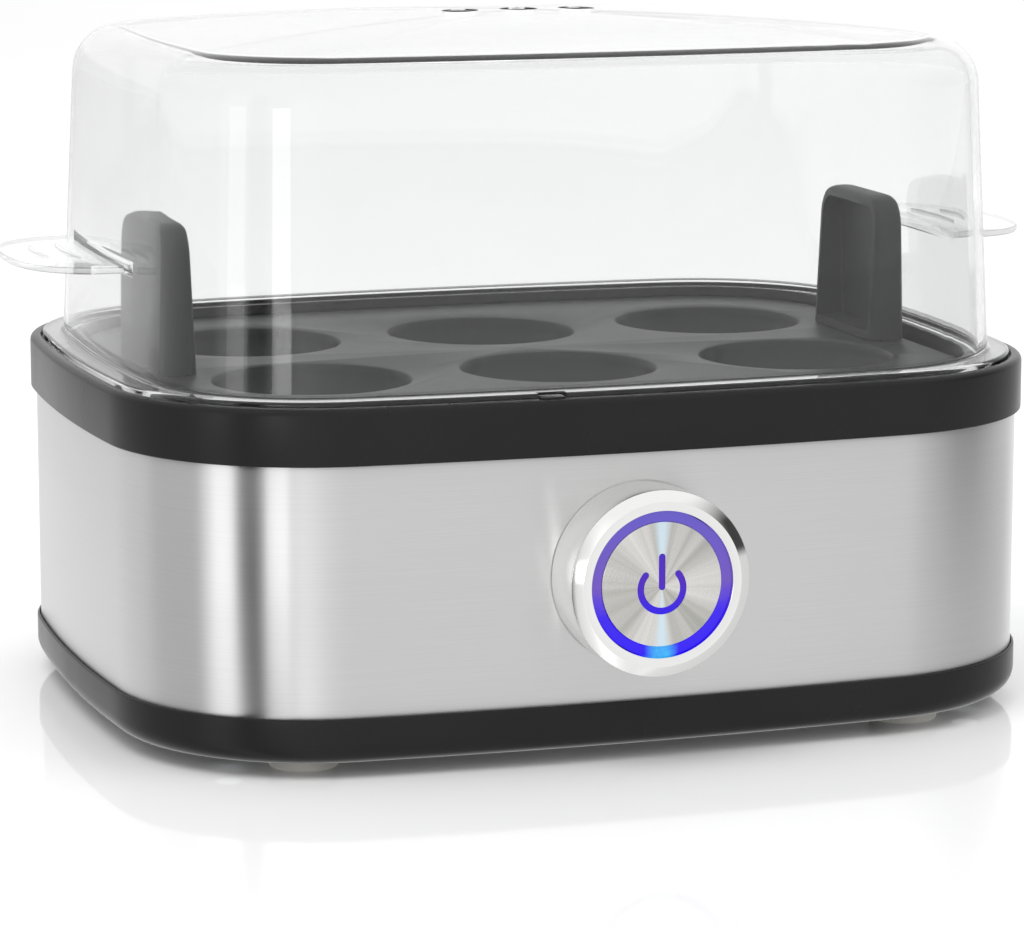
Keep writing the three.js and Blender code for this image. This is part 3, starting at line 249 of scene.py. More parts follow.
VENT_CUT = (130.0, 150.0)
NOTCH_HALF = 2.9
NOTCH_Y = (-80.0, -74.1)
NOTCH_HEIGHTS = (72.0, 76.0)


# Shapes


def plan_curve(side_steps=20, corner_steps=16):
    """The rim's plan as two arrays, places and outward directions: four shallow arcs bowed
    outwards, joined by four corner arcs. A place moved by an offset is place + offset * direction."""
    long_radius = (HALF_LONG**2 + FRONT_BOW**2) / (2 * FRONT_BOW)
    short_radius = (HALF_SHORT**2 + END_BOW**2) / (2 * END_BOW)
    long_spread = math.asin(HALF_LONG / long_radius)
    short_spread = math.asin(HALF_SHORT / short_radius)
    corners = [(1, -1), (1, 1), (-1, 1), (-1, -1)]
    arcs = []
    for turn, (right, back) in enumerate(corners):
        facing = (turn - 1) * math.pi / 2
        along_x = turn % 2 == 0
        spread, following = (long_spread, short_spread) if along_x else (short_spread, long_spread)
        radius = long_radius if along_x else short_radius
        out = (HALF_SHORT + FRONT_BOW if along_x else HALF_LONG + END_BOW) - radius
        centre = (math.cos(facing) * out, math.sin(facing) * out)
        arcs.append((centre, radius + CORNER, facing - spread, facing + spread, side_steps))
        corner = (right * HALF_LONG, back * HALF_SHORT)
        arcs.append((corner, CORNER, facing + spread, facing + math.pi / 2 - following, corner_steps))
    places, ways = [], []
    for centre, radius, start, end, steps in arcs:
        angles = np.linspace(start, end, steps, endpoint=False)
        way = np.stack([np.cos(angles), np.sin(angles)], axis=1)
        places.append(np.array(centre) + radius * way)
        ways.append(way)
    return np.concatenate(places), np.concatenate(ways)


def softened(steps, *corners):
    """A polyline with its corners rounded. Each corner is (a, b, radius); one with a radius becomes a
    circular arc that touches both of its sides."""
    points = np.array([(a, b) for a, b, _ in corners], dtype=float)
    done = []
    for number, (a, b, radius) in enumerate(corners):
        if radius <= 0 or number in (0, len(corners) - 1):
            done.append((a, b))
            continue
        here = points[number]
        before = points[number - 1] - here
        after = points[number + 1] - here
        before /= np.linalg.norm(before)
        after /= np.linalg.norm(after)
        half = math.acos(np.clip(before @ after, -1, 1)) / 2
        reach = radius / math.tan(half)
        middle = (before + after) / np.linalg.norm(before + after) * (radius / math.sin(half))
        centre = here + middle
        first = here + before * reach - centre
        last = here + after * reach - centre
        start = math.atan2(first[1], first[0])
        turn = (math.atan2(last[1], last[0]) - start + math.pi) % (2 * math.pi) - math.pi
        angles = start + turn * np.linspace(0, 1, steps + 1)
        done.extend(zip(centre[0] + radius * np.cos(angles), centre[1] + radius * np.sin(angles)))
    return np.array(done)


def grid_faces(rows, columns, rows_close=False):
    """Quads of a grid of rows by columns that closes across its columns, and across its rows if
    asked. Corner order: (r, c), (r, c+1), (r+1, c+1), (r+1, c)."""
    row = np.arange(rows if rows_close else rows - 1)[:, None]
    column = np.arange(columns)[None, :]
    next_row = (row + 1) % rows
    next_column = (column + 1) % columns
    quads = [row * columns + column, row * columns + next_column]
    quads += [next_row * columns + next_column, next_row * columns + column]
    return np.stack(np.broadcast_arrays(*quads), axis=-1).reshape(-1, 4)


def mesh_of(name, points, faces, merge=True):
    """A mesh from arrays in millimetres, its faces turned outwards: doubles are merged, or else faces
    with many sides are cut into triangles."""
    mesh = bpy.data.meshes.new(name)
    places = (np.asarray(points, dtype=float).reshape(-1, 3) + (0, BODY_Y, 0)) * MM
    mesh.from_pydata(places.tolist(), [], faces)
    work = bmesh.new()
    work.from_mesh(mesh)
    if merge:
        bmesh.ops.remove_doubles(work, verts=work.verts, dist=2e-7)
        bmesh.ops.dissolve_degenerate(work, edges=work.edges, dist=1e-8)
    bmesh.ops.recalc_face_normals(work, faces=work.faces)
    if not merge:
        bmesh.ops.triangulate(work, faces=[f for f in work.faces if len(f.verts) > 4])
    work.to_mesh(mesh)
    work.free()
    return mesh


def linked(name, data):
    """A mesh, lamp or camera as an object in the scene."""
    item = bpy.data.objects.new(name, data)
    bpy.context.scene.collection.objects.link(item)
    return item


def solid(name, points, faces):
    """A closed solid from arrays of points and faces."""
    return linked(name, mesh_of(name, points, np.asarray(faces).tolist()))


def ringed(name, profile, closed=False, curve=None):
    """A solid over the plan: each profile point is (offset, height) or (offset, height, share).
    Its ring is the plan's outline moved outwards by the offset, drawn to the centre by the share."""
    places, ways = curve or plan_curve()
    profile = [tuple(p) + (1.0,) * (3 - len(p)) for p in profile]
    offset, height, share = np.array(profile, dtype=float).T
    flat = (places[None] + offset[:, None, None] * ways[None]) * share[:, None, None]
    level = np.broadcast_to(height[:, None, None], flat.shape[:2] + (1,))
    return solid(name, np.concatenate([flat, level], axis=2), grid_faces(len(profile), len(places), closed))


def turned(name, profile, centre=(0, 0, 0), axis="z", steps=96, closed=False):
    """A solid turned about an axis through centre: each profile point is (radius, distance along
    the axis)."""
    radius, along = np.array(profile, dtype=float).T
    angles = np.linspace(0, 2 * math.pi, steps, endpoint=False)
    across = radius[:, None] * np.cos(angles)
    up = radius[:, None] * np.sin(angles)
    level = np.broadcast_to(along[:, None], across.shape)
    order = {"z": (across, up, level), "y": (across, level, up)}[axis]
    points = np.stack(order, axis=-1) + np.array(centre)
    return solid(name, points, grid_faces(len(radius), steps, closed))


def rod(name, radius, span, centre, axis="z", steps=96):
    """A plain round bar between the two ends of its span."""
    low, high = span
    return turned(name, [(0, low), (radius, low), (radius, high), (0, high)], centre, axis, steps)


def stacked(name, outlines, heights, place=None):
    """A solid through closed outlines of equal length, each an array of (x, y), one at each height.
    place turns the stacked (x, y, height) into the object's axes."""
    outlines = np.asarray(outlines, dtype=float)
    level = np.broadcast_to(np.asarray(heights, dtype=float)[:, None, None], outlines.shape[:2] + (1,))
    points = np.concatenate([outlines, level], axis=2)
    if place:
        points = place(points)
    return solid(name, points, grid_faces(len(outlines), outlines.shape[1]))


def round_box(half_x, half_y, radius, steps=8):
    """The outline of a rectangle with round corners, counter-clockwise."""
    corners = np.array([(1, -1), (1, 1), (-1, 1), (-1, -1)]) * (half_x - radius, half_y - radius)
    starts = np.array([-0.5, 0, 0.5, 1]) * math.pi
    angles = starts[:, None] + np.linspace(0, math.pi / 2, steps + 1)[None]
    arcs = corners[:, None] + radius * np.stack([np.cos(angles), np.sin(angles)], axis=2)
    return arcs.reshape(-1, 2)


def prism(name, outline, low, high, edge=0.0, place=None, steps=4):
    """A flat plate of an outline, its rims rounded by the edge radius. The outline is drawn in
    towards its middle at the rims and closed by its middle."""
    outline = np.asarray(outline, dtype=float)
    middle = (outline.min(axis=0) + outline.max(axis=0)) / 2
    reach = (outline.max(axis=0) - outline.min(axis=0)) / 2
    turn = np.linspace(0, math.pi / 2, steps + 1) if edge else np.zeros(1)
    drawn = edge * (1 - np.sin(turn))
    rise = edge * (1 - np.cos(turn))
    inner = np.concatenate([[-1], drawn, drawn[::-1], [-1]])
    levels = np.concatenate([[low], low + rise, high - rise[::-1], [high]])
    shares = np.where(inner[:, None] < 0, 0, 1 - np.maximum(inner, 0)[:, None] / reach[None])
    rings = middle + (outline - middle)[None] * shares[:, None, :]
    return stacked(name, rings, levels, place)


def box(name, low, high):
    """A block between two opposite corners, each (x, y, z)."""
    (left, front, foot), (right, back, top) = low, high
    return prism(name, [(left, front), (right, front), (right, back), (left, back)], foot, top)


def combined(item, operation, *tools):
    """item joined with, or cut by, the tools; the tools are used up."""
    for tool in tools:
        change = item.modifiers.new("change", "BOOLEAN")
        change.operation = operation
        change.solver = "EXACT"
        change.object = tool
    graph = bpy.context.evaluated_depsgraph_get()
    mesh = bpy.data.meshes.new_from_object(item.evaluated_get(graph))
    item.modifiers.clear()
    item.data = mesh
    for tool in tools:
        bpy.data.objects.remove(tool)
    return item


def cut(item, *tools):
    """item less its tools."""
    return combined(item, "DIFFERENCE", *tools)


def join(item, *tools):
    """item and its tools as one solid."""
    return combined(item, "UNION", *tools)


def merged(item, *others):
    """The meshes of several closed solids in one object."""
    work = bmesh.new()
    for one in (item, *others):
        work.from_mesh(one.data)
    work.to_mesh(item.data)
    work.free()
    for one in others:
        bpy.data.objects.remove(one)
    return item


def finished(item, body, slot, node, angle=32):
    """Shades a piece smooth up to an angle, gives it its slot's finish and sets its body."""
    item.data.name = item.name
    item.data.polygons.foreach_set("use_smooth", [True] * len(item.data.polygons))
    item.data.set_sharp_from_angle(angle=math.radians(angle))
    item.data.materials.clear()
    item.data.materials.append(FINISHES[slot])
    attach(item, body)
    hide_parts(node)
    return item


# Finishes


class Nodes:
    """Short ways to make and join the nodes of one tree."""

    def __init__(self, tree):
        self.tree = tree

    def node(self, kind, **settings):
        made = self.tree.nodes.new("ShaderNode" + kind)
        for name, value in settings.items():
            if name in made.inputs:
                made.inputs[name].default_value = value
            else:
                setattr(made, name, value)
        return made

    def link(self, out, into):
        self.tree.links.new(out, into)

    def place(self, centre=(0, 0, 0), scale=(1, 1, 1)):
        """Object coordinates about a centre in metres, stretched by a scale."""
        start = [-middle * stretch for middle, stretch in zip(centre, scale)]
        moved = self.node("Mapping", Location=start, Scale=scale)
        self.link(self.node("TexCoord").outputs["Object"], moved.inputs["Vector"])
        return moved.outputs["Vector"]

    def noise(self, vector, scale, detail=4.0, roughness=0.55):
        made = self.node("TexNoise", Scale=scale, Detail=detail, Roughness=roughness)
        self.link(vector, made.inputs["Vector"])
        return made.outputs["Fac"]

    def math(self, operation, first, second=0.5):
        made = self.node("Math", operation=operation)
        for socket, value in zip(made.inputs, (first, second)):
            if isinstance(value, (int, float)):
                socket.default_value = value
            else:
                self.link(value, socket)
        return made.outputs[0]

    def ranged(self, value, low, high, from_low=0.0, from_high=1.0):
        """A value's range carried over to low and high, and held at both."""
        made = self.node("MapRange")
        limits = {"From Min": from_low, "From Max": from_high, "To Min": low, "To Max": high}
        for socket, limit in limits.items():
            made.inputs[socket].default_value = limit
        self.link(value, made.inputs["Value"])
        return made.outputs[0]

    def ramp(self, value, *stops):
        made = self.node("ValToRGB")
        band = made.color_ramp
        while len(band.elements) < len(stops):
            band.elements.new(0.5)
        for element, (position, color) in zip(band.elements, stops):
            element.position = position
            element.color = (*color, 1)
        self.link(value, made.inputs["Fac"])
        return made.outputs["Color"]

    def mixed(self, first, second, share=1.0, **settings):
        """Two colours mixed by a share, each a colour or a socket."""
        made = self.node("Mix", data_type="RGBA", **settings)
        for socket, value in ((0, share), (6, first), (7, second)):
            if isinstance(value, (float, tuple)):
                made.inputs[socket].default_value = value
            else:
                self.link(value, made.inputs[socket])
        return made.outputs[2]

    def parts(self, vector):
        made = self.node("SeparateXYZ")
        self.link(vector, made.inputs[0])
        return made.outputs

    def length(self, first, second):
        """The square root of the sum of two squares."""
        squares = [self.math("MULTIPLY", one, one) for one in (first, second)]
        return self.math("SQRT", self.math("ADD", *squares))

    def blend(self, share, first, second):
        """first where the share is 0, second where it is 1."""
        rest = self.math("SUBTRACT", 1.0, share)
        return self.math("ADD", self.math("MULTIPLY", first, rest), self.math("MULTIPLY", second, share))


class Finish(Nodes):
    """A material being put together: one Principled shader and its patterns."""

    def __init__(self, name, color, roughness, metallic=0.0, **plain):
        self.material = bpy.data.materials.new(name)
        self.material.use_nodes = True
        super().__init__(self.material.node_tree)
        self.shader = self.tree.nodes["Principled BSDF"]
        plain = {"Base Color": (*color, 1), "Roughness": roughness, "Metallic": metallic, **plain}
        for socket, value in plain.items():
            self.shader.inputs[socket.replace("_", " ")].default_value = value

    def feed(self, value, socket):
        self.link(value, self.shader.inputs[socket])

    def roughness(self, value, low, high):
        self.feed(self.ranged(value, low, high, 0.3, 0.7), "Roughness")

    def color(self, value, low, high):
        self.feed(self.ramp(value, (0.3, low), (0.7, high)), "Base Color")

    def bump(self, height, strength, distance=0.0002):
        made = self.node("Bump", Strength=strength, Distance=distance)
        self.link(height, made.inputs["Height"])
        self.feed(made.outputs["Normal"], "Normal")


def grey(level):
    """A colour of three equal parts."""
    return (level, level, level)


def tint(color, share):
    """A colour made darker or lighter by a share of itself."""
    return tuple(min(1.0, part * share) for part in color)


def moulded(name, color, rough, grain=1400, depth=0.05, spread=0.08, **plain):
    """Moulded plastic: a fine grain in the surface and slow changes of gloss and tone."""
    made = Finish(name, color, rough, **plain)
    place = made.place()
    slow = made.noise(place, 28, 3)
    made.roughness(slow, rough - spread / 2, rough + spread / 2)
    made.color(slow, tint(color, 0.93), tint(color, 1.07))
    made.bump(made.noise(place, grain, 2), depth, 0.00005)
    return made.material


def brushed(name, color, rough, stretch, **plain):
    """Brushed metal: noise drawn out along the brushing, in tone, gloss and relief."""
    made = Finish(name, color, rough, 1.0, **plain)
    fine = made.noise(made.place(scale=grey(stretch)), 1.0, 5, 0.65)
    slow = made.noise(made.place(), 14, 2)
    made.color(fine, tint(color, 0.9), tint(color, 1.08))
    both = made.math("ADD", made.math("MULTIPLY", fine, 0.7), made.math("MULTIPLY", slow, 0.3))
    made.roughness(both, rough - 0.07, rough + 0.07)
    made.bump(fine, 0.06, 0.00004)
    return made.material


def circled(name, color, rough, centre, axis, **plain):
    """Metal with a circular grain about an axis: noise of the distance from the axis."""
    made = Finish(name, color, rough, 1.0, **plain)
    x, y, z = made.parts(made.place(centre))
    first, second = {"y": (x, z), "z": (x, y)}[axis]
    rings = made.node("CombineXYZ")
    made.link(made.length(first, second), rings.inputs[0])
    fine = made.noise(rings.outputs[0], 5200, 3, 0.7)
    made.color(fine, tint(color, 0.88), tint(color, 1.06))
    made.roughness(fine, rough - 0.06, rough + 0.06)
    made.bump(fine, 0.05, 0.00003)
    return made


def sleeve_finish():
    """Steel brushed lengthwise: reflections are drawn out upright, across the brushing."""
    color = grey(0.66)
    made = Finish("brushed_sleeve", color, 0.3, 1.0, Anisotropic=1.0)
    fine = made.noise(made.place(scale=(40, 40, 7000)), 1.0, 3, 0.6)
    slow = made.noise(made.place(scale=(9, 9, 60)), 1.0, 2)
    made.color(fine, tint(color, 0.965), tint(color, 1.03))
    both = made.math("ADD", made.math("MULTIPLY", fine, 0.5), made.math("MULTIPLY", slow, 0.5))
    made.roughness(both, 0.28, 0.32)
    made.bump(fine, 0.03, 0.00001)
    upright = made.node("CombineXYZ", Z=1.0)
    made.feed(upright.outputs[0], "Tangent")
    return made.material


def disc_finish():
    """A turned steel disc: fine rings, with a painted sheen and painted streaks in its colour that change
    by the angle round the middle, and a painted pale blue highlight straight above and below it where the
    rings would split the light."""
    centre = (0, (BODY_Y + FACE_Y) * MM, (BUTTON_Z - 0.4) * MM)
    made = circled("spun_disc", (0.68, 0.68, 0.665), 0.27, centre, "y", Anisotropic=0.85)
    away = made.place(centre)
    aim = made.node("VectorMath", operation="NORMALIZE")
    made.link(away, aim.inputs[0])
    x, _, z = made.parts(aim.outputs[0])
    # Painted sheen and painted streaks: the colour is made lighter and darker, past white in places, by the
    # angle round the middle, standing in for the turned steel's reflections.
    painted_sheen = made.ramp(
        made.noise(aim.outputs[0], 1.7, 2, 0.6),
        (0.34, (0.76, 0.76, 0.72)),
        (0.48, (0.97, 0.95, 0.94)),
        (0.6, (1.16, 1.14, 1.13)),
    )
    painted_streaks = made.ramp(made.noise(aim.outputs[0], 9.0, 3, 0.6), (0.35, grey(0.93)), (0.65, grey(1.05)))
    rings = made.shader.inputs["Base Color"].links[0].from_socket
    both = made.mixed(painted_sheen, painted_streaks, blend_type="MULTIPLY")
    grain_and_painted_sheen = made.mixed(rings, both, blend_type="MULTIPLY")
    # Painted highlight: pale blue straight above and below the middle, where the rings would split the
    # light.
    upright = made.ranged(made.math("ABSOLUTE", x, 0.0), 0.9, 0.0, 0.04, 0.17)
    made.feed(made.mixed(grain_and_painted_sheen, (0.72, 0.88, 0.98, 1), upright), "Base Color")
    out = made.node("CombineXYZ")
    made.link(x, out.inputs[0])
    made.link(z, out.inputs[2])
    made.feed(out.outputs[0], "Tangent")
    return made.material


def chrome_finish():
    """Bright chrome plate, faintly uneven in gloss and surface."""
    made = Finish("bezel_chrome", (0.885, 0.885, 0.875), 0.08, 1.0)
    made.roughness(made.noise(made.place(), 60, 3), 0.05, 0.12)
    made.bump(made.noise(made.place(), 900, 2), 0.02, 0.00003)
    return made.material


def light_finish():
    """A lit blue light guide: violet above, pure blue below, deeper in the symbol than in the ring,
    with a pale spot at the ring's lowest point where the lamp shines through."""
    made = Finish("blue_light", (0.012, 0.006, 0.12), 0.3, Specular_IOR_Level=0.25)
    x, _, height = made.parts(made.place((0, 0, BUTTON_Z * MM)))
    level = made.ranged(height, 0, 1, -0.0148, 0.0148)
    cloud = made.noise(made.place(), 420, 4)
    color = made.ramp(
        made.math("ADD", level, made.ranged(cloud, -0.05, 0.05)),
        (0.0, (0.02, 0.004, 0.86)),
        (0.3, (0.04, 0.012, 0.76)),
        (0.5, (0.165, 0.095, 0.43)),
        (1.0, (0.13, 0.105, 0.47)),
    )
    inside = made.ranged(made.length(x, height), 1.0, 0.0, 0.009, 0.0105)
    deep = made.mixed(color, (0.42, 0.15, 0.95, 1), inside, blend_type="MULTIPLY")
    near = made.ranged(made.math("ABSOLUTE", x, 0.0), 1.0, 0.0, 0.0012, 0.0036)
    low = made.ranged(height, 1.0, 0.0, -0.0125, -0.0115)
    patchy = made.ranged(cloud, 0.55, 1.0, 0.4, 0.6)
    spot = made.math("MULTIPLY", made.math("MULTIPLY", near, low), patchy)
    made.feed(made.mixed(deep, (0.05, 0.5, 0.86, 1), spot), "Emission Color")
    made.shader.inputs["Emission Strength"].default_value = 0.95
    return made.material


def clear_finish():
    """Clear moulded plastic. The grips hardly bend light, as they would look black otherwise, and their
    sides have a painted shade: milky grey between two darker painted lines. Rays from lamps pass it
    unbent, so that what is inside is lit."""
    color = (0.935, 0.938, 0.938)
    coat = {"Coat_Weight": 0.7, "Coat_IOR": 1.5, "Coat_Roughness": 0.02}
    made = Finish("clear_plastic", color, 0.02, Transmission_Weight=1.0, IOR=1.12, **coat)
    made.roughness(made.noise(made.place(), 22, 3), 0.01, 0.05)
    made.bump(made.noise(made.place(), 8, 2), 0.05, 0.0006)
    x, y, z = made.parts(made.place((0, BODY_Y * MM, GRIP_ZONE_Z * MM)))
    reach = made.math("ABSOLUTE", x, 0.0)
    grip = made.ranged(reach, 0.0, 1.0, 0.088, 0.09)
    for across, half in zip((y, z), GRIP_ZONE_HALF):
        near = made.ranged(made.math("ABSOLUTE", across, 0.0), 1.0, 0.0, half * MM, (half + 0.4) * MM)
        grip = made.math("MULTIPLY", grip, near)
    made.feed(made.ranged(grip, 1.12, 1.008), "IOR")
    # Painted shade: on the grips' steep sides near their outer ends the base colour goes dark grey at the
    # rounding and milky grey on the flat, and lets less light through, standing in for the dark edges that
    # clear plastic shows.
    facing = made.parts(made.node("TexCoord").outputs["Normal"])[2]
    steep = made.ranged(made.math("ABSOLUTE", facing, 0.0), 1.0, 0.0, 0.3, 0.95)
    edge = made.math("MULTIPLY", steep, made.ranged(reach, 0.0, 1.0, 0.0922, 0.0926))
    edge = made.math("MULTIPLY", edge, grip)
    through = made.math("SUBTRACT", made.ranged(grip, 1.0, 0.8), made.ranged(edge, 0.0, 0.35))
    made.feed(through, "Transmission Weight")
    tone = made.ramp(edge, (0.0, color), (0.45, grey(0.46)), (1.0, grey(0.84)))
    made.feed(tone, "Base Color")
    see = made.node("BsdfTransparent", Color=(0.93, 0.94, 0.94, 1))
    path = made.node("LightPath")
    mix = made.node("MixShader")
    out = made.tree.nodes["Material Output"]
    made.link(path.outputs["Is Shadow Ray"], mix.inputs["Fac"])
    made.link(made.shader.outputs[0], mix.inputs[1])
    made.link(see.outputs[0], mix.inputs[2])
    made.link(mix.outputs[0], out.inputs["Surface"])
    return made.material


PLASTICS = {
    "black_plastic": (grey(0.017), 0.26, {"Specular_IOR_Level": 0.13}),
    "black_nylon": (grey(0.012), 0.5, {}),
    "pale_silicone": ((0.62, 0.61, 0.57), 0.55, {}),
    "ceramic": ((0.72, 0.68, 0.58), 0.6, {"depth": 0.15}),
    "white_nylon": ((0.7, 0.7, 0.67), 0.5, {}),
    "circuit_board": ((0.02, 0.16, 0.06), 0.35, {}),
    "natural_nylon": ((0.7, 0.66, 0.56), 0.55, {}),
    "red_lead": ((0.42, 0.02, 0.015), 0.45, {}),
    "blue_lead": ((0.02, 0.06, 0.36), 0.45, {}),
    "green_lead": ((0.1, 0.3, 0.04), 0.45, {}),
    "grey_plastic": ((0.0165, 0.017, 0.0175), 0.45, {"Specular_IOR_Level": 0.3}),
}
METALS = {
    "zinc_steel": ((0.5, 0.52, 0.54), 0.35, 260),
    "element_tube": (grey(0.32), 0.45, 420),
    "spring_steel": (grey(0.5), 0.3, 900),
    "brass": ((0.6, 0.42, 0.14), 0.3, 500),
}
FINISHES = {
    "brushed_sleeve": sleeve_finish(),
    "stainless_plate": circled("stainless_plate", grey(0.55), 0.28, (0, BODY_Y * MM, 0), "z").material,
    "bezel_chrome": chrome_finish(),
    "blue_light": light_finish(),
    "spun_disc": disc_finish(),
    "clear_plastic": clear_finish(),
}
for name, (color, rough, more) in PLASTICS.items():
    FINISHES[name] = moulded(name, color, rough, **more)
for name, (color, rough, stretch) in METALS.items():
    FINISHES[name] = brushed(name, color, rough, stretch)

for entry in frame["record"]["subparts"]:
    node = frame["nodes"][entry["node"]]
    node.data.materials.clear()
    node.data.materials.append(FINISHES[entry["material_slot"]])


# Housing


def base_moulding():
    """A shallow dish over the plan with a rounded foot edge, a slot for the sleeve and a lip inside
    it, four sockets for the feet and four stepped holes for the screws."""
    profile = softened(
        8,
        (CENTRE, BASE_UNDER, 0), (BASE_SIDE, BASE_UNDER, BASE_ROUND), (BASE_SIDE, BASE_TOP, 0.35),
        (SLOT_OUT, BASE_TOP, 0), (SLOT_OUT, SLOT_FLOOR, 0), (SLOT_IN, SLOT_FLOOR, 0),
        (SLOT_IN, BASE_LIP_TOP, EDGE), (LIP_IN, BASE_LIP_TOP, EDGE),
        (LIP_IN, BASE_FLOOR, 0.8), (CENTRE, BASE_FLOOR, 0),
    )
    rings = [(CENTRE, BASE_UNDER, 0.0), *profile, (CENTRE, BASE_FLOOR, 0.0)]
    item = ringed("base_moulding", rings)
    screw_hole = [
        (0, CUT_BELOW), (HEAD_HOLE, CUT_BELOW), (HEAD_HOLE, SCREW_SEAT),
        (SCREW_HOLE, SCREW_SEAT), (SCREW_HOLE, SCREW_CUT_TOP), (0, SCREW_CUT_TOP),
    ]
    span = (CUT_BELOW, PAD_NECK_TOP + GAP)
    sockets = [rod("socket", PAD_NECK + GAP, span, (x, y, 0), steps=48) for x, y in FEET]
    holes = [turned("hole", screw_hole, (x, y, 0), steps=48) for x, y in POSTS]
    finished(cut(item, *sockets, *holes), "base", "black_plastic", "lower_housing")


def sleeve_band():
    """The steel band: an upright sheet round the plan, with round holes for the bezel's neck and the
    inlet bush."""
    middle = (SLEEVE_OUT + SLEEVE_IN) / 2
    profile = softened(
        2,
        (middle, SLEEVE_FOOT, 0), (SLEEVE_OUT, SLEEVE_FOOT, FINE_EDGE),
        (SLEEVE_OUT, SLEEVE_TOP, FINE_EDGE), (SLEEVE_IN, SLEEVE_TOP, FINE_EDGE),
        (SLEEVE_IN, SLEEVE_FOOT, FINE_EDGE), (middle, SLEEVE_FOOT, 0),
    )
    item = ringed("sleeve_band", profile[:-1], closed=True, curve=plan_curve(36, 32))
    front = rod("hole", NECK_RADIUS + GAP, FRONT_CUT, (0, 0, BUTTON_Z), "y")
    back = rod("hole", BUSH_NECK + GAP, BACK_CUT, (0, 0, INLET_Z), "y", 64)
    finished(cut(item, front, back), "base", "brushed_sleeve", "steel_sleeve")


def rim_moulding():
    """The black rim and all that hangs inside it, as one profile round the plan; a round hole for the
    heating plate, the key that locates the lid, and four posts for the screws."""
    kerb_inside = KERB - WALL
    profile = softened(
        5,
        (CENTRE, WELL_FLOOR - WALL, 0), (WELL_SIDE, WELL_FLOOR - WALL, 1.5), (WELL_SIDE, CONE_FOOT, 4),
        (SHELF_END, CONE_TOP, 4), (SHELF_END, SHELF_TOP - WALL, 0), (KERB, SHELF_TOP - WALL, 0),
        (KERB, FLANGE_TOP - WALL, 0), (LIP_IN, FLANGE_TOP - WALL, 0),
        (LIP_IN, RIM_LIP_FOOT, EDGE), (SLOT_IN, RIM_LIP_FOOT, EDGE), (SLOT_IN, SLOT_ROOF, 0),
        (SLOT_OUT, SLOT_ROOF, 0), (SLOT_OUT, SKIRT_FOOT, 0), (0, SKIRT_FOOT, 0.35),
        (0, RIM_TOP, RIM_ROUND), (SLOT_IN, RIM_TOP, 0.4), (SLOT_IN, FLANGE_TOP, 0.2),
        (KERB, FLANGE_TOP, 0.2), (KERB, KERB_TOP, 0.35), (kerb_inside + KERB_SLOPE, KERB_TOP, 0.4),
        (kerb_inside, SLOPE_FOOT, EDGE), (kerb_inside, SHELF_TOP, 0.5),
        (SHELF_END - WALL, SHELF_TOP, 0.6), (SHELF_END - WALL, CONE_TOP, 4),
        (WELL_SIDE - WALL, CONE_FOOT, 4), (WELL_SIDE - WALL, WELL_FLOOR, 0.8), (CENTRE, WELL_FLOOR, 0),
    )
    rings = [(CENTRE, WELL_FLOOR - WALL, 0.0), *profile, (CENTRE, WELL_FLOOR, 0.0)]
    item = ringed("rim_moulding", rings, curve=plan_curve(24, 24))
    low, high = WELL_CUT
    wide = WELL_HOLE + WELL_HOLE_STEP
    step_top = WELL_HOLE_SEAT + WELL_HOLE_STEP
    opening = [
        (0, low), (WELL_HOLE, low), (WELL_HOLE, WELL_HOLE_SEAT), (wide, step_top), (wide, high), (0, high)
    ]
    hole = turned("hole", opening, steps=128)
    key = prism("key", np.array(KEY_PLACE) + round_box(*KEY_HALF, 0.5), KEY_FOOT, KEY_TOP, EDGE)
    item = join(cut(item, hole), key)
    shell = [
        (SCREW_HOLE, POST_FOOT), (POST_RADIUS, POST_FOOT), (POST_RADIUS, POST_TOP), (0, POST_TOP),
        (0, POST_BORE_TOP), (SCREW_HOLE, POST_BORE_TOP),
    ]
    posts = [turned("post", shell, (x, y, 0), steps=32, closed=True) for x, y in POSTS]
    finished(merged(item, *posts), "base", "black_plastic", "rim_housing")


def feet():
    """Four pads, each a flat disc with a neck that sits in the base moulding."""
    profile = softened(
        4,
        (0, 0, 0), (PAD_RADIUS, 0, 0.6), (PAD_RADIUS, PAD_TOP, EDGE), (PAD_NECK, PAD_TOP, 0),
        (PAD_NECK, PAD_NECK_TOP, EDGE), (0, PAD_NECK_TOP, 0),
    )
    for label, (x, y) in zip(("front_left", "back_left", "front_right", "back_right"), FEET):
        item = turned(f"pad_{label}", profile, (x, y, 0), steps=64)
        finished(item, "base", "pale_silicone", f"foot_{label}")


def inlet_bush():
    """The cord's inlet: a bore, a neck through the sleeve and a round flange outside it."""
    profile = softened(
        4,
        (BUSH_BORE, BUSH_IN, EDGE), (BUSH_NECK, BUSH_IN, EDGE), (BUSH_NECK, BUSH_SEAT, 0),
        (BUSH_FLANGE, BUSH_SEAT, 0), (BUSH_FLANGE, BUSH_OUT, 0.9), (BUSH_BORE, BUSH_OUT, 0.6),
        (BUSH_BORE, BUSH_IN, 0),
    )
    item = turned("inlet_bush", profile[:-1], (0, 0, INLET_Z), "y", 64, True)
    finished(item, "base", "black_nylon", "cord_gland")


# Button


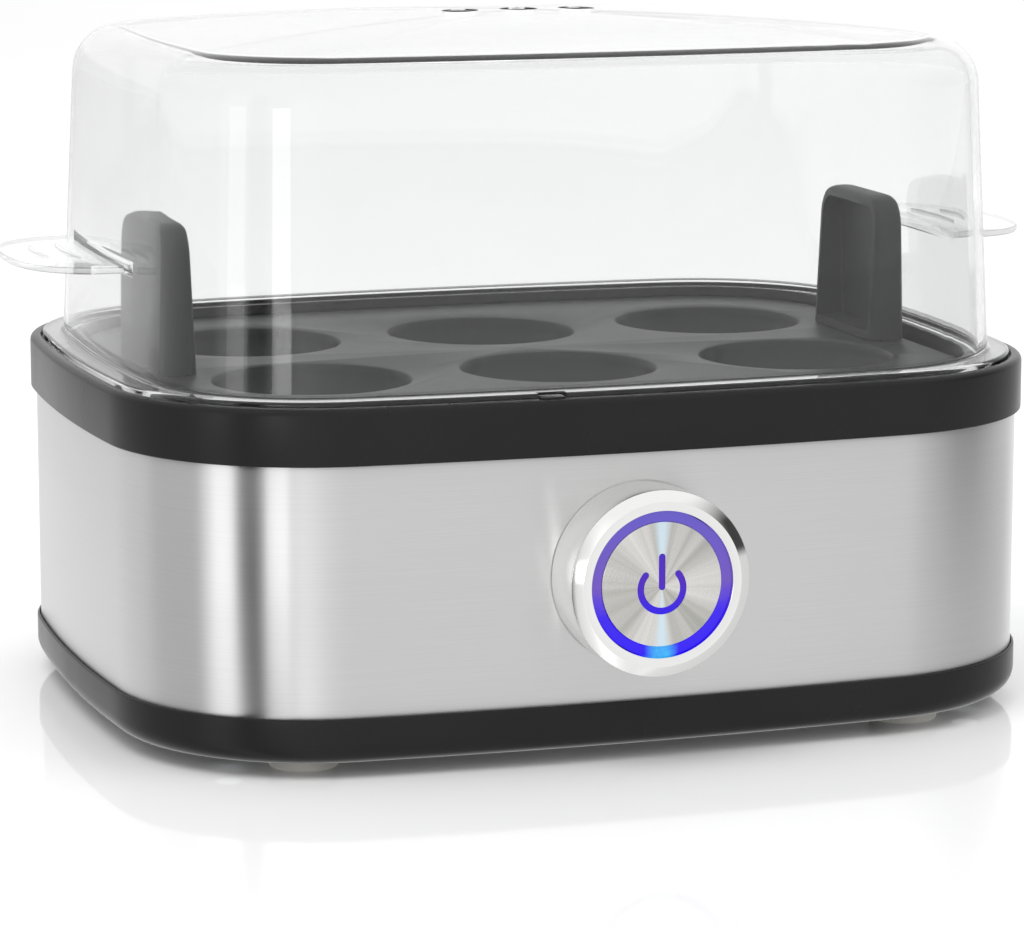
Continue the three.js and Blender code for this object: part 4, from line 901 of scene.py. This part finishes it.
def bezel_piece():
    """A chrome collar: flat face, wide bevel, straight side against the sleeve and a neck through
    it. The bore steps out behind the button's lip."""
    seam = BEZEL_Y + BEZEL_SEAM
    profile = softened(
        4,
        (BEZEL_BORE, seam, 0), (BEZEL_BORE, BEZEL_Y, FINE_EDGE), (BEZEL_FLAT, BEZEL_Y, 0.1),
        (BEZEL_RADIUS, BEZEL_Y + BEZEL_BEVEL, EDGE), (BEZEL_RADIUS, BEZEL_BACK, EDGE),
        (NECK_RADIUS, BEZEL_BACK, 0), (NECK_RADIUS, NECK_END, EDGE), (NECK_BORE, NECK_END, 0.2),
        (NECK_BORE, BEZEL_STEP, 0), (BEZEL_BORE, BEZEL_STEP, 0), (BEZEL_BORE, seam, 0),
    )
    item = turned("bezel_piece", profile[:-1], (0, 0, BUTTON_Z), "y", 192, True)
    finished(item, "base", "bezel_chrome", "button_bezel", 25)


def ring_piece():
    """The lit ring: a short tube with its face a little below the button's."""
    front = FACE_Y + RING_SUNK
    back = FACE_Y + RING_DEPTH
    profile = softened(
        4,
        (RING_BORE, back, 0), (RING_BORE, front, 0.25), (RING_RADIUS, front, 0.25),
        (RING_RADIUS, back, 0), (RING_BORE, back, 0),
    )
    item = turned("ring_piece", profile[:-1], (0, 0, BUTTON_Z), "y", 192, True)
    finished(item, "button", "blue_light", "light_ring")


def upright_face(points):
    """Turns (x, y, height) into (x, height, y), so that a flat outline stands facing the front."""
    return points[..., [0, 2, 1]]


def symbol_solids(name, grow, near, far):
    """The power symbol: an open band round a circle and an upright bar, both with round ends."""
    half = SYMBOL_HALF + grow
    middle = BUTTON_Z - SYMBOL_DROP
    turn = np.radians(np.linspace(90 + SYMBOL_GAP, 450 - SYMBOL_GAP, 61))
    way = np.stack([np.cos(turn), np.sin(turn)], axis=1)
    end = np.linspace(0, math.pi, 9)[1:-1]
    caps = []
    for angle, start in ((turn[-1], turn[-1]), (turn[0], turn[0] + math.pi)):
        centre = SYMBOL_RADIUS * np.array([math.cos(angle), math.sin(angle)])
        caps.append(centre + half * np.stack([np.cos(start + end), np.sin(start + end)], axis=1))
    outer = way * (SYMBOL_RADIUS + half)
    inner = way[::-1] * (SYMBOL_RADIUS - half)
    outline = np.concatenate([outer, caps[0], inner, caps[1]]) + (0, middle)
    band = solid_between(name, outline, near, far)
    bar = round_box(half, SYMBOL_BAR_HALF + grow, half * 0.98) + (0, middle + SYMBOL_BAR_RISE)
    return band, prism(name + "_bar", bar, near, far, place=upright_face)


def solid_between(name, outline, near, far):
    """A prism of any outline, standing to face the front, each of its two flat faces cut into
    triangles."""
    count = len(outline)
    rings = [np.concatenate([outline, np.full((count, 1), level)], axis=1) for level in (near, far)]
    faces = [*grid_faces(2, count).tolist(), list(range(count))[::-1], list(range(count, 2 * count))]
    return linked(name, mesh_of(name, upright_face(np.concatenate(rings)), faces, merge=False))


def disc_pieces():
    """The steel disc with the symbol cut out of it, and the lit symbol on its plate behind it."""
    profile = softened(
        3,
        (0, FACE_Y, 0), (DISC_RADIUS, FACE_Y, FINE_EDGE), (DISC_RADIUS, FACE_Y + DISC_DEPTH, 0),
        (0, FACE_Y + DISC_DEPTH, 0),
    )
    disc = turned("disc_piece", profile, (0, 0, BUTTON_Z), "y", 160)
    near, far = (FACE_Y + depth for depth in SYMBOL_CUT)
    disc = cut(disc, *symbol_solids("slot", SYMBOL_ROOM, near, far))
    finished(disc, "button", "spun_disc", "button_disc")
    band, bar = symbol_solids("symbol_piece", 0.0, FACE_Y + SYMBOL_SUNK, FACE_Y + SYMBOL_DEPTH)
    span = [FACE_Y + depth for depth in PLATE_DEPTHS]
    plate = rod("plate", PLATE_RADIUS, span, (0, 0, BUTTON_Z), "y", 64)
    finished(join(band, bar, plate), "button", "blue_light", "power_symbol")


# Heater


def heating_pieces():
    """The heating plate, a pressed dish with a raised flange and two studs under it, and its seal."""
    upper_side = DISH_SIDE - DISH_SHEET
    floor = DISH_UNDER + DISH_SHEET
    flange = DISH_FLANGE + DISH_SHEET
    profile = softened(
        5,
        (0, DISH_UNDER, 0), (DISH_FLAT, DISH_UNDER, 2), (DISH_SIDE, DISH_SLOPE, 1),
        (DISH_SIDE, DISH_FLANGE, 0.4), (DISH_RADIUS, DISH_FLANGE, 0),
        (DISH_RADIUS, flange, 0.5), (upper_side, flange, 1.2),
        (upper_side, DISH_SLOPE + DISH_SHEET, 1), (DISH_FLAT - 0.5, floor, 2.5), (0, floor, 0),
    )
    plate = turned("plate_dish", profile, steps=128)
    narrow, long = STUD_CHAMFER
    stud = [
        (0, STUD_END), (STUD_RADIUS - narrow, STUD_END), (STUD_RADIUS, STUD_END + long),
        (STUD_RADIUS, STUD_TOP), (0, STUD_TOP),
    ]
    studs = [turned("stud", stud, (x, y, 0), steps=24) for x, y in STUDS]
    finished(merged(plate, *studs), "base", "stainless_plate", "heating_plate")
    low, high = SEAL_HEIGHTS
    inside, outside = SEAL_SIDES
    seal = softened(
        3,
        (SEAL_MIDDLE, low, 0), (outside, low, 0.4), (outside, high, 0.4), (inside, high, 0.4),
        (inside, low, 0.4), (SEAL_MIDDLE, low, 0),
    )
    item = turned("seal_ring", seal[:-1], steps=128, closed=True)
    finished(item, "base", "pale_silicone", "plate_seal")


# Tray


def handle_hood(name, inner, outer, half, foot, top, corner, edge):
    """A hood standing on the deck: round-cornered outlines that grow downwards as its faces lean,
    narrow at the top along a corner arc seen from the end, and round over at the top edges."""
    low, high = DECK + foot, DECK + top
    lean_in, lean_out = HOOD_LEAN
    arc = high - corner + corner * np.sin(np.linspace(0, math.pi / 2, 14))
    levels = np.concatenate([np.linspace(low, high - corner, 12)[:-1], arc])
    down = (high - levels) / (high - low)
    above = np.clip(levels - (high - corner), 0, corner)
    widths = half - (corner - np.sqrt(np.maximum(corner**2 - above**2, 0)))
    over = np.clip(levels - (high - edge), 0, edge)
    draw = edge - np.sqrt(np.maximum(edge**2 - over**2, 0))
    rings = []
    for near, far, width in zip(inner - lean_in * down + draw, outer + lean_out * down - draw, widths):
        thick = (far - near) / 2
        rings.append(round_box(thick, width, min(edge, thick * 0.95, width * 0.5)) + ((near + far) / 2, 0))
    ends = [np.broadcast_to(ring.mean(axis=0), ring.shape) for ring in (rings[0], rings[-1])]
    return stacked(name, [ends[0], *rings, ends[1]], [levels[0], *levels, levels[-1]])


def turned_about(item):
    """The same piece turned half round about the body's upright centre line."""
    mesh = item.data.copy()
    places = np.empty(len(mesh.vertices) * 3)
    mesh.vertices.foreach_get("co", places)
    places = places.reshape(-1, 3) * (-1, -1, 1) + (0, 2 * BODY_Y * MM, 0)
    mesh.vertices.foreach_set("co", places.ravel())
    return linked(item.name, mesh)


def cup_radius(height):
    """A cup's inner radius: it narrows from its mouth at the deck to its foot, along a quarter of a
    sine wave."""
    share = np.clip((height - (DECK - CUP_DEPTH)) / CUP_DEPTH, 0, 1)
    return CUP_FOOT + (CUP_MOUTH - CUP_FOOT) * np.sin(share * math.pi / 2)


def end_boxes(start):
    """Two boxes that hold all that lies beyond a distance from the middle, at either end."""
    far, half = TRIM_FAR
    low, high = TRIM_HEIGHTS
    right = box("end", (start, -half, low), (far, half, high))
    return right, box("end", (-far, -half, low), (-start, half, high))


def tray_moulding():
    """The deck with its skirt, hollow below and cut off square at both ends, six open cups let into
    it, and four slots for the handles' tabs."""
    skirt = DECK - DECK_SKIRT
    profile = softened(
        4, (CENTRE, skirt, 0), (DECK_SIDE, skirt, 0), (DECK_SIDE, DECK, 0.7), (CENTRE, DECK, 0)
    )
    deck = ringed("tray_moulding", [(DECK_SIDE, skirt, 0), *profile, (DECK_SIDE, DECK, 0)])
    inside = DECK_SIDE - TRAY_SHEET
    low = skirt - 3
    high = DECK - DECK_SHEET
    under = ringed("under", [(inside, low, 0), (inside, low), (inside, high), (inside, high, 0)])
    deck = cut(cut(deck, *end_boxes(TRAY_END)), cut(under, *end_boxes(TRAY_END - TRAY_SHEET)))
    levels = np.linspace(DECK - CUP_DEPTH, DECK, 12)
    radii = cup_radius(levels)
    outer = list(zip(radii + CUP_SHEET, levels))[:-1]
    wall = list(zip(radii, levels))[:-2]
    flare = [(radius, DECK + rise) for radius, rise in CUP_FLARE]
    cup = [(0, levels[0]), *outer, (CUP_MOUTH + CUP_SHEET, DECK - 0.4), (0, DECK - 0.4)]
    cut_foot = DECK - CUP_DEPTH - 2
    hollow = [(0, cut_foot), (CUP_FOOT, cut_foot), *wall, *flare, (0, DECK + 2)]
    cups = [turned("cup", cup, (x, y, 0), steps=72) for x, y in SEATS]
    hollows = [turned("hollow", hollow, (x, y, 0), steps=72) for x, y in SEATS]
    deck = cut(join(deck, *cups), *hollows)
    half_x, half_y = TAB_SLOT_HALF
    slots = []
    for x, y in [(x, y) for x in (-TAB_SLOT_X, TAB_SLOT_X) for y in (-TAB_Y, TAB_Y)]:
        low = (x - half_x, y - half_y, DECK - 3)
        slots.append(box("slot", low, (x + half_x, y + half_y, DECK + 1)))
    finished(cut(deck, *slots), "tray", "grey_plastic", "egg_tray")


def tray_handles():
    """Two hoods, hollow towards the seats, each with two hooked tabs that reach through the deck."""
    hood = handle_hood("grip_right", *HOOD)
    pocket = handle_hood("pocket", *POCKET)
    near, far = TAB_X
    tabs = []
    for end in (-1, 1):
        y = end * TAB_Y
        hook = y + end * TAB_HALF
        tabs.append(box("tab", (near, y - TAB_HALF, TAB_FOOT), (far, y + TAB_HALF, DECK + 1)))
        tabs.append(box("hook", (near, hook - TAB_HALF, TAB_FOOT), (far, hook + TAB_HALF, HOOK_TOP)))
    right = join(cut(hood, pocket), *tabs)
    left = turned_about(right)
    left.name = "grip_left"
    finished(right, "tray", "grey_plastic", "tray_handle_right")
    finished(left, "tray", "grey_plastic", "tray_handle_left")


# Lid


def dome(inset, edge):
    """Rings of a shallow dome: height above the edge = rise * (1 - share squared). The first lies
    close to the edge, so that the crease stays a thin line."""
    shares = [0.997, *np.linspace(1, 0, 16)[1:]]
    return [(-inset, edge + DOME_RISE * (1 - share**2), share) for share in shares]


def grip_outline():
    """Half of a rounded bar beyond the wall: along it and across it, the distances as shares of its
    half sizes, each raised to GRIP_POWER, add up to one."""
    angle = np.linspace(-math.pi / 2, math.pi / 2, 61)
    power = 2 / GRIP_POWER
    x = GRIP_START + GRIP_REACH * np.cos(angle) ** power
    y = GRIP_HALF * np.sign(np.sin(angle)) * np.abs(np.sin(angle)) ** power
    curve = np.stack([x, y], axis=1)
    return np.concatenate([curve, [(GRIP_ROOT, GRIP_HALF), (GRIP_ROOT, -GRIP_HALF)]])


def rib_outline(middle, half):
    """A slim bar bowed outwards: its centre line is a parabola over its length."""
    along = np.linspace(-half, half, 25)
    line = middle - RIB_BOW * (along / half) ** 2
    ends = np.sqrt(np.maximum(1 - (along / half) ** 6, 0)) * RIB_WIDTH / 2
    front = np.stack([line + ends, along], axis=1)
    back = np.stack([line - ends, along], axis=1)[::-1]
    return np.concatenate([front, back[1:-1]])


def lid_shell():
    """Flange, leaning wall, round shoulder and dome, hollowed out by the same shape drawn in by
    the sheet; a grip at each end, three vents and the notch for the rim's key."""
    curve = plan_curve(28, 28)
    crown = WALL_TOP + SHOULDER
    wall = softened(
        16,
        (LID_START, LID_FOOT, 0), (LID_EDGE, LID_FOOT, 0.4),
        (LID_EDGE, LID_FLANGE, 0.6), (-WALL_FOOT, LID_FLANGE, 0.9),
        (-WALL_TOP, CREASE, SHOULDER), (-crown, CREASE, 0),
    )
    rings = [(LID_START, LID_FOOT, 0.0), *wall, *dome(crown, CREASE)]
    outer = ringed("lid_shell", rings, curve=curve)
    grip = prism("grip", grip_outline(), *GRIP_HEIGHTS, GRIP_EDGE)
    ribs = [prism("rib", rib_outline(*place), *RIB_HEIGHTS, RIB_EDGE) for place in RIB_PLACES]
    grip = join(grip, *ribs)
    outer = join(outer, grip, turned_about(grip))
    foot = -WALL_FOOT - SHEET
    below = LID_FOOT - 2
    inner = softened(
        16,
        (foot, below, 0), (foot, LID_FOOT, 0), (-WALL_TOP - SHEET, CREASE - SHEET, SHOULDER - SHEET),
        (-crown, CREASE - SHEET, 0),
    )
    hollow = ringed("hollow", [(foot, below, 0.0), *inner, *dome(crown, CREASE - SHEET)], curve=curve)
    top = CREASE + DOME_RISE
    low, high = VENT_CUT
    bore = softened(
        3,
        (0, low, 0), (VENT_RADIUS, low, 0), (VENT_RADIUS, top - 0.4, 0.2), (VENT_MOUTH, top + 0.1, 0),
        (VENT_MOUTH, high, 0), (0, high, 0),
    )
    vents = [turned("vent", bore, (x, 0, 0), steps=48) for x in VENT_X]
    key_x, _ = KEY_PLACE
    (front, back), (low, high) = NOTCH_Y, NOTCH_HEIGHTS
    notch = box("notch", (key_x - NOTCH_HALF, front, low), (key_x + NOTCH_HALF, back, high))
    lid = cut(cut(outer, hollow), *vents, notch)
    finished(lid, "lid", "clear_plastic", "lid", 28)


base_moulding()
sleeve_band()
rim_moulding()
feet()
inlet_bush()
bezel_piece()
ring_piece()
disc_pieces()
heating_pieces()
tray_moulding()
tray_handles()
lid_shell()


# Stage: worktop, lights and camera

WORKTOP_HALF = 3000.0
WORKTOP_CORNER = 300.0
WORKTOP_DEPTH = 4.0
VIEW_FROM = (-281.66, -849.89 + BODY_Y, 208.62)
VIEW_AT = (-2.843, BODY_Y, 46.783)
LENS = 148.03
LENS_SHIFT = (0.00634, 0.0002)

# Lamps: place and side in metres, power in watts. They face LAMP_AIM.
LAMPS = {"key": ((-0.7, -0.6, 1.7), 0.9, 10), "fill": ((1.1, -0.7, 1.5), 0.8, 4)}
LAMP_AIM = (0, 0, 0.07)

# Brightness of the room, for reflections, by angle in degrees counted from the right towards the
# back: from the left to the front, behind, and at the right below and above the horizon.
ROOM_LEFT = [
    (-180, 0.62), (-172, 0.62), (-168, 1.1), (-165, 1.36), (-151, 1.36), (-146, 0.04), (-137, 0.04),
    (-132, 0.8), (-122, 0.95), (-113, 1.3), (-106, 1.2), (-98, 1.04), (-88, 0.94), (-76, 0.91),
]
ROOM_BACK = [(60, 1.12), (95, 1.0), (125, 0.94), (148, 0.78), (158, 0.62), (180, 0.62)]
ROOM_RIGHT_LOW = [(-60, 0.97), (-45, 0.82), (-25, 0.77), (8, 0.7), (30, 0.72)]
ROOM_RIGHT_HIGH = [(-55, 0.8), (-38, 0.4), (-22, 0.05), (-8, 0.06), (12, 0.5), (35, 0.9)]

# Upright strips in the room: angle, half width, added brightness, soft edge.
STRIPS = [(-156, 5.5, 1.3, 1.2), (-125, 5.5, 3.3, 1.2), (110, 20, -0.22, 20)]


def floor():
    """A glossy white worktop. It is left out of the reflections in the object, where the studio
    below takes its place."""
    made = Finish("worktop", grey(0.94), 0.06, Specular_IOR_Level=0.25)
    made.roughness(made.noise(made.place(), 6, 2), 0.05, 0.07)
    outline = round_box(WORKTOP_HALF, WORKTOP_HALF, WORKTOP_CORNER)
    item = prism("worktop", outline, -WORKTOP_DEPTH, 0.0)
    item.data.materials.append(made.material)
    item.visible_glossy = False


def aimed(item, place, aim):
    """Puts a lamp or the camera at a place, facing another, both in metres."""
    item.location = place
    item.rotation_euler = (Vector(aim) - Vector(place)).to_track_quat("-Z", "Y").to_euler()


def softbox(name, place, side, power):
    """A square lamp, seen by the object's dull surfaces only."""
    lamp = bpy.data.lights.new(name, "AREA")
    lamp.size = side
    lamp.energy = power
    item = linked(name, lamp)
    aimed(item, place, LAMP_AIM)
    item.visible_glossy = False
    item.visible_transmission = False


def by_turn(sky, turn, *stops):
    """Brightness by angle: stops are (degrees from -180 to 180, brightness up to 2)."""
    places = [((degrees + 180) / 360, grey(level / 2)) for degrees, level in stops]
    return sky.math("MULTIPLY", sky.ramp(sky.ranged(turn, 0, 1, -math.pi, math.pi), *places), 2.0)


def strip_light(sky, turn, rise, degrees, half, brightness, soft):
    """An upright strip about the horizon, with the values of one row of STRIPS."""
    off = sky.math("ABSOLUTE", sky.math("SUBTRACT", turn, math.radians(degrees)), 0.0)
    wide = sky.ranged(off, brightness, 0, math.radians(half), math.radians(half + soft))
    high = sky.math("ABSOLUTE", sky.math("ADD", rise, 0.01), 0.0)
    return sky.math("MULTIPLY", wide, sky.ranged(high, 1, 0, 0.08, 0.12))


def studio():
    """Soft even light, and for reflections alone a room with two strip lamps and a dark gap at the
    left, a dim far side at the right and a pale ground."""
    world = bpy.data.worlds.new("studio")
    bpy.context.scene.world = world
    world.use_nodes = True
    sky = Nodes(world.node_tree)
    x, y, rise = sky.parts(sky.node("TexCoord").outputs["Generated"])
    turn = sky.math("ARCTAN2", y, x)
    ground = by_turn(sky, turn, *ROOM_LEFT, *ROOM_RIGHT_LOW, *ROOM_BACK)
    wall = by_turn(sky, turn, *ROOM_LEFT, *ROOM_RIGHT_HIGH, *ROOM_BACK)
    room = sky.blend(sky.ranged(rise, 0, 1, -0.03, 0.04), ground, wall)
    room = sky.blend(sky.ranged(rise, 0, 1, 0.3, 0.6), room, 1.0)
    for strip in STRIPS:
        room = sky.math("ADD", room, strip_light(sky, turn, rise, *strip))
    ray = sky.node("LightPath").outputs
    reflected = sky.math("SUBTRACT", ray["Is Glossy Ray"], ray["Is Transmission Ray"])
    reflected = sky.math("MAXIMUM", reflected, 0.0)
    light = sky.tree.nodes["Background"]
    sky.link(sky.blend(reflected, 1.0, room), light.inputs["Strength"])
    light.inputs["Color"].default_value = (1, 1, 1, 1)
    for name, lamp in LAMPS.items():
        softbox(name, *lamp)


def camera():
    """The photograph's view: a long lens to the front left, a little above."""
    lens = bpy.data.cameras.new("view")
    lens.sensor_width = 36
    lens.lens = LENS
    lens.shift_x, lens.shift_y = LENS_SHIFT
    lens.clip_start = 0.01
    eye = linked("view", lens)
    aimed(eye, Vector(VIEW_FROM) * MM, Vector(VIEW_AT) * MM)
    bpy.context.scene.camera = eye


floor()
studio()
camera()
bpy.context.scene.view_settings.view_transform = "Standard"
